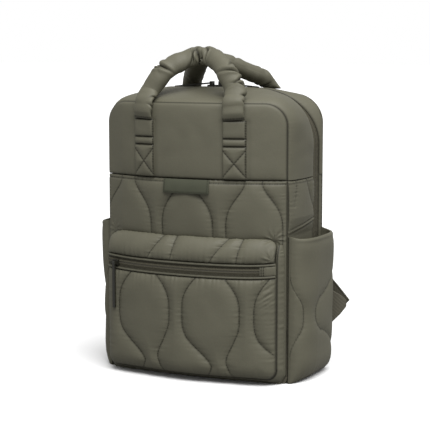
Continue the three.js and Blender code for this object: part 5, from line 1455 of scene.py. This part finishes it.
def band_rings(rows, count, around, square=0.55):
    """Rings of a flat band: each row gives its middle, width, thickness and which way it faces."""
    path, share, length = smooth_path([r["at"] for r in rows], count)
    stations = np.linspace(0, 1, len(rows))
    wide, thick = (np.interp(share, stations, [r[key] for r in rows]) for key in ("wide", "thick"))
    tangent = np.gradient(path, axis=0)
    tangent /= np.linalg.norm(tangent, axis=1, keepdims=True)
    facing = np.tile(np.asarray(rows[0].get("facing", (0, 1, 0)), float), (count, 1))
    across = np.cross(tangent, facing)
    across /= np.linalg.norm(across, axis=1, keepdims=True)
    out = np.cross(across, tangent)
    angle = np.linspace(0, 2 * np.pi, around, endpoint=False)
    c = np.sign(np.cos(angle)) * np.abs(np.cos(angle)) ** square
    s = np.sign(np.sin(angle)) * np.abs(np.sin(angle)) ** square
    return path, across, out, wide, thick, c, s, length


def band_solid(name, rows, count=60, around=28, square=0.55, edge_mark=2.5):
    path, across, out, wide, thick, c, s, length = band_rings(rows, count, around, square)
    rings = (path[:, None] + across[:, None] * (wide[:, None] / 2 * c)[..., None]
             + out[:, None] * (thick[:, None] / 2 * s)[..., None])
    along = np.linspace(0, length, count)[:, None]
    inset = wide[:, None] / 2 * (1 - np.abs(c[None, :]))
    uv = np.stack(np.broadcast_arrays(along, wide[:, None] / 2 * c[None, :]), -1)
    mark = thread_mark(inset - edge_mark, along)
    return ring_solid(name, rings, {"stitch": np.clip(mark, 0, 1)}, uv), length


def strap_rows(side):
    """The padded strap's middle, width and thickness from the patch to its end, as in the frame."""
    top = PATCH_TOP - PATCH_HEIGHT + 12
    seat = BACK_Y + PATCH_THICK + 2 * GAP
    # down, spread, out, wide and thick of each station, as shares
    table = [
        (0, 0, 0, 0.8, 0.35), (0.1, 0.02, 0.12, 0.86, 0.7), (0.25, 0.1, 0.5, 0.95, 1), (0.45, 0.3, 0.9, 1, 1),
        (0.65, 0.6, 1, 0.98, 1), (0.82, 0.84, 0.88, 0.84, 0.95), (0.92, 1.08, 0.72, 0.62, 0.7),
        (1, 1.42, 0.62, 0.46, 0.4),
    ]
    return [dict(at=(side * (STRAP_X + r[1] * STRAP_SPREAD), seat + r[4] * STRAP_THICK / 2 + r[2] * STRAP_OUT,
                     mix(top, STRAP_FOOT, r[0])),
                 wide=r[3] * STRAP_WIDTH, thick=r[4] * STRAP_THICK) for r in table]


def make_shoulder_straps():
    z = np.linspace(PATCH_TOP, PATCH_TOP - PATCH_HEIGHT, 40)[:, None]
    x = np.linspace(-PATCH_WIDTH / 2, PATCH_WIDTH / 2, 120)[None, :]
    ends = np.minimum(PATCH_TOP - z, z - PATCH_TOP + PATCH_HEIGHT) + x * 0
    edge = np.minimum(PATCH_WIDTH / 2 - np.abs(x) + z * 0, ends)
    seat = BACK_Y + GAP
    y = seat + PATCH_THICK - 1.0 * np.exp(-edge / 1.0) - 0.4 * bell(edge - 3.5, 0.9)
    y = y + 0.15 * drift(x, z, 25, 181)
    outer = np.stack(np.broadcast_arrays(x, y, z), -1)
    inner = np.stack(np.broadcast_arrays(x, seat + 0 * y, z), -1)
    patch = padded_sheet("strap_patch_cloth", outer, inner, {"stitch": thread_mark(edge - 3.5, x + z)})
    finish(patch, shell_nylon(), ["strap_patch"])
    for name, side in (("left", -1), ("right", 1)):
        piece, _ = band_solid(f"shoulder_strap_padding_{name}", strap_rows(side), 110, 44, edge_mark=6)
        finish(piece, backing_nylon(), [f"shoulder_strap_{name}"])


def make_strap_ends():
    for name, side in (("left", -1), ("right", 1)):
        tip = Vector((side * (WING_TIP_X - 3), WING_TIP_Y, WING_TIP_Z - 6))
        start = Vector(strap_rows(side)[-1]["at"])
        way = (tip - start).normalized()
        face = (Vector((0, 1, 0)) - way * way.y).normalized()
        centre = start + way * (12 + 2.75)
        low = centre + face * (2 + WEBBING_THICK / 2 + GAP)
        high = tip - way * 4 + face * (WING_THICK / 2 + WEBBING_THICK / 2 + GAP)
        rows = [dict(at=tuple(low.lerp(high, t) + face * 4 * math.sin(math.pi * t)), wide=WEBBING_WIDTH,
                     thick=WEBBING_THICK, facing=tuple(face)) for t in np.linspace(0, 1, 9)]
        strap, length = band_solid(f"webbing_strap_{name}", rows, 60, 24, square=0.3, edge_mark=2)
        finish(strap, webbing_weave(), [f"webbing_{name}"])
        seat = BACK_Y + GAP + WING_THICK / 2
        bend = HALF - 2
        columns = [
            dict(x=bend - 16, y=seat, low=53.0, high=113.0),
            dict(x=bend, y=seat, low=52.0, high=114.0),
            dict(x=mix(bend, WING_TIP_X, 0.3), y=mix(seat, WING_TIP_Y, 0.26), low=60.0, high=112.0),
            dict(x=mix(bend, WING_TIP_X, 0.7), y=mix(seat, WING_TIP_Y, 0.68), low=75.0, high=103.5),
            dict(x=WING_TIP_X - 3, y=WING_TIP_Y, low=WING_TIP_Z - 6, high=WING_TIP_Z + 4),
        ]
        xs = np.array([c["x"] for c in columns])
        t = np.linspace(xs[0], xs[-1], 60)[:, None]
        y, low_z, high_z = (np.interp(t, xs, [c[key] for c in columns]) for key in ("y", "low", "high"))
        share = np.linspace(0, 1, 36)[None, :]
        z = mix(low_z, high_z, share)
        edge = np.minimum(share, 1 - share) * (high_z - low_z)
        lift = 1.5 - 0.8 * np.exp(-edge / 0.9) + 0.25 * drift(t, z, 22, 191 + side)
        wing_x = side * t + z * 0
        outer = np.stack([wing_x, y + lift, z], -1)
        inner = np.stack([wing_x, y - 1.5 + z * 0, z], -1)
        uv = np.stack([wing_x, z], -1)
        mark = np.maximum(thread_mark(edge - 3, t + z), thread_mark(edge - 6, t + z))
        wing = padded_sheet(f"strap_wing_cloth_{name}", outer, inner, {"stitch": np.clip(mark, 0, 1)}, uv)
        finish(wing, webbing_weave(), [f"strap_wing_{name}"])


# Hardware from the frame keeps its shape


def dress_hardware():
    finishes = dict.fromkeys(("pocket_slider", "pocket_pull", "slider_left", "slider_right", "pull_left",
                              "pull_right"), slider_enamel)
    finishes.update(dict.fromkeys(("buckle_left", "buckle_right"), buckle_acetal))
    for name, material in finishes.items():
        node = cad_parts[name]
        node.data.materials.clear()
        node.data.materials.append(material())


# Stage


def studio_material():
    # Matt white seamless paper: even, without any gleam
    material, tree, shader = start_material("matt_seamless_paper")
    if tree is None:
        return material
    place = add_node(tree, "ShaderNodeTexCoord").outputs["Object"]
    fibre = add_node(tree, "ShaderNodeTexNoise", None,
                     {"Vector": place, "Scale": 1 / (400 * MM), "Detail": 2.0})
    shade = add_node(tree, "ShaderNodeMix", {"data_type": "RGBA"},
                     {0: fibre.outputs["Fac"], 6: opaque(colours().floor, 0.995), 7: opaque(colours().floor)})
    # The paper reflects less onto the bag than the eye sees of it, as under black flags beside a set
    seen = add_node(tree, "ShaderNodeLightPath")
    flagged = add_node(tree, "ShaderNodeMix", {"data_type": "RGBA"},
                       {0: seen.outputs["Is Camera Ray"], 6: opaque(colours().floor, 0.3),
                        7: shade.outputs[2]})
    tree.links.new(flagged.outputs[2], shader.inputs["Base Color"])
    shader.inputs["Roughness"].default_value = 0.95
    shader.inputs["Specular IOR Level"].default_value = 0.1
    return material


def area_light(name, at, target, size, power):
    light = bpy.data.lights.new(name, "AREA")
    light.shape = "RECTANGLE"
    light.size, light.size_y = size
    light.energy = power
    lamp = bpy.data.objects.new(name, light)
    lamp.location = at
    lamp.rotation_euler = (Vector(target) - Vector(at)).to_track_quat("-Z", "Y").to_euler()
    bpy.context.scene.collection.objects.link(lamp)


def make_stage():
    bpy.ops.object.select_all(action="DESELECT")
    bpy.ops.mesh.primitive_plane_add(size=60.0, location=(0, 0, 0))
    floor = bpy.context.active_object
    floor.name = "studio_floor"
    floor.data.materials.append(studio_material())

    # White air all round, a broad soft light from the upper right and a softbox over the front
    scene = bpy.context.scene
    scene.view_settings.view_transform = "Standard"
    scene.view_settings.look = "None"
    world = bpy.data.worlds.new("studio_air")
    world.use_nodes = True
    tree = world.node_tree
    tree.nodes["Background"].inputs["Color"].default_value = (1, 1, 1, 1)
    # The backdrop is lit white on its own, brighter than the light that the room gives to the bag
    seen = add_node(tree, "ShaderNodeLightPath")
    strength = add_node(tree, "ShaderNodeMapRange", sockets={"To Min": 0.5, "To Max": 1.0})
    tree.links.new(seen.outputs["Is Camera Ray"], strength.inputs["Value"])
    tree.links.new(strength.outputs["Result"], tree.nodes["Background"].inputs["Strength"])
    scene.world = world
    sun = bpy.data.lights.new("overhead_silk", "SUN")
    sun.energy = 3.4
    sun.angle = math.radians(52)
    overhead = bpy.data.objects.new("overhead_silk", sun)
    overhead.rotation_euler = Vector((0.42, -0.3, 0.9)).to_track_quat("Z", "Y").to_euler()
    scene.collection.objects.link(overhead)
    area_light("front_softbox", (0.12, -0.52, 0.82), (0, -0.06, 0.32), (0.5, 0.3), 2.1)

    camera = bpy.data.cameras.new("photo_camera")
    camera.sensor_width = SENSOR
    camera.lens = FOCAL_PX / FRAME_SIDE * SENSOR
    camera.shift_x = -CENTRE_OFF_PX[0] / FRAME_SIDE
    camera.shift_y = CENTRE_OFF_PX[1] / FRAME_SIDE
    camera.clip_end = 50
    azimuth, height = math.radians(CAMERA_AZIMUTH), math.radians(CAMERA_HEIGHT)
    flat = math.cos(height)
    back = Vector((math.sin(azimuth) * flat, -math.cos(azimuth) * flat, math.sin(height)))
    viewer = bpy.data.objects.new("photo_camera", camera)
    viewer.location = LOOK_AT + back * CAMERA_FAR
    viewer.rotation_euler = (-back).to_track_quat("-Z", "Y").to_euler()
    scene.collection.objects.link(viewer)
    scene.camera = viewer


# Operators


class BackpackStage(bpy.types.Operator):
    """Sets the paper floor, the soft lights and the photograph's camera"""

    bl_idname = "backpack.stage"
    bl_label = "Stage and camera"

    def execute(self, context):
        make_stage()
        return {"FINISHED"}


class BackpackFront(bpy.types.Operator):
    """Makes the upper front panel, the quilted panel below it and the bare label"""

    bl_idname = "backpack.front"
    bl_label = "Front panels and label"

    def execute(self, context):
        make_front_yoke()
        make_front_quilted_panel()
        make_label()
        return {"FINISHED"}


class BackpackSides(bpy.types.Operator):
    """Makes the boxing strips beside the main zip, the side walls and the base"""

    bl_idname = "backpack.sides"
    bl_label = "Gussets, sides and base"

    def execute(self, context):
        make_gussets()
        make_side_strips()
        make_plain_walls()
        return {"FINISHED"}


class BackpackZips(bpy.types.Operator):
    """Makes the main zip's tape and coil"""

    bl_idname = "backpack.zips"
    bl_label = "Main zip"

    def execute(self, context):
        make_main_zip()
        return {"FINISHED"}


class BackpackPocket(bpy.types.Operator):
    """Makes the quilted front pocket and its zip"""

    bl_idname = "backpack.pocket"
    bl_label = "Front pocket"

    def execute(self, context):
        make_pocket_face()
        make_pocket_shelf()
        make_pocket_boxing()
        make_pocket_zip()
        return {"FINISHED"}


class BackpackSidePockets(bpy.types.Operator):
    """Makes the two open side pockets"""

    bl_idname = "backpack.side_pockets"
    bl_label = "Side pockets"

    def execute(self, context):
        make_side_pockets()
        return {"FINISHED"}


class BackpackHandles(bpy.types.Operator):
    """Makes the two padded handles and the front one's stitched tabs"""

    bl_idname = "backpack.handles"
    bl_label = "Handles"

    def execute(self, context):
        make_handles()
        make_handle_tabs()
        return {"FINISHED"}


class BackpackBack(bpy.types.Operator):
    """Makes the padded back, the shoulder straps, their webbing and its wings"""

    bl_idname = "backpack.back"
    bl_label = "Back and straps"

    def execute(self, context):
        make_back_panel()
        make_shoulder_straps()
        make_strap_ends()
        return {"FINISHED"}


class BackpackHardware(bpy.types.Operator):
    """Finishes the frame's sliders, pulls and buckles"""

    bl_idname = "backpack.hardware"
    bl_label = "Sliders, pulls and buckles"

    def execute(self, context):
        dress_hardware()
        return {"FINISHED"}


OPERATORS = (
    BackpackStage, BackpackFront, BackpackSides, BackpackZips, BackpackPocket,
    BackpackSidePockets, BackpackHandles, BackpackBack, BackpackHardware,
)


class BackpackPanel(bpy.types.Panel):
    """Lists the pieces in the sidebar"""

    bl_idname = "VIEW3D_PT_backpack"
    bl_label = "Backpack"
    bl_space_type = "VIEW_3D"
    bl_region_type = "UI"
    bl_category = "Backpack"

    def draw(self, context):
        for operator in OPERATORS:
            self.layout.operator(operator.bl_idname)
        for group in (context.scene.backpack_sizes, context.scene.backpack_colours):
            box = self.layout.box()
            for key in group.bl_rna.properties.keys():
                if key not in ("rna_type", "name"):
                    box.prop(group, key)


CLASSES = (BackpackSizes, BackpackColours, *OPERATORS, BackpackPanel)


def register():
    for item in CLASSES:
        bpy.utils.register_class(item)
    bpy.types.Scene.backpack_sizes = PointerProperty(type=BackpackSizes)
    bpy.types.Scene.backpack_colours = PointerProperty(type=BackpackColours)


def unregister():
    del bpy.types.Scene.backpack_colours
    del bpy.types.Scene.backpack_sizes
    for item in reversed(CLASSES):
        bpy.utils.unregister_class(item)


def main():
    register()
    bpy.ops.backpack.stage()
    bpy.ops.backpack.front()
    bpy.ops.backpack.sides()
    bpy.ops.backpack.zips()
    bpy.ops.backpack.pocket()
    bpy.ops.backpack.side_pockets()
    bpy.ops.backpack.handles()
    bpy.ops.backpack.back()
    bpy.ops.backpack.hardware()


if __name__ == "__main__":
    main()
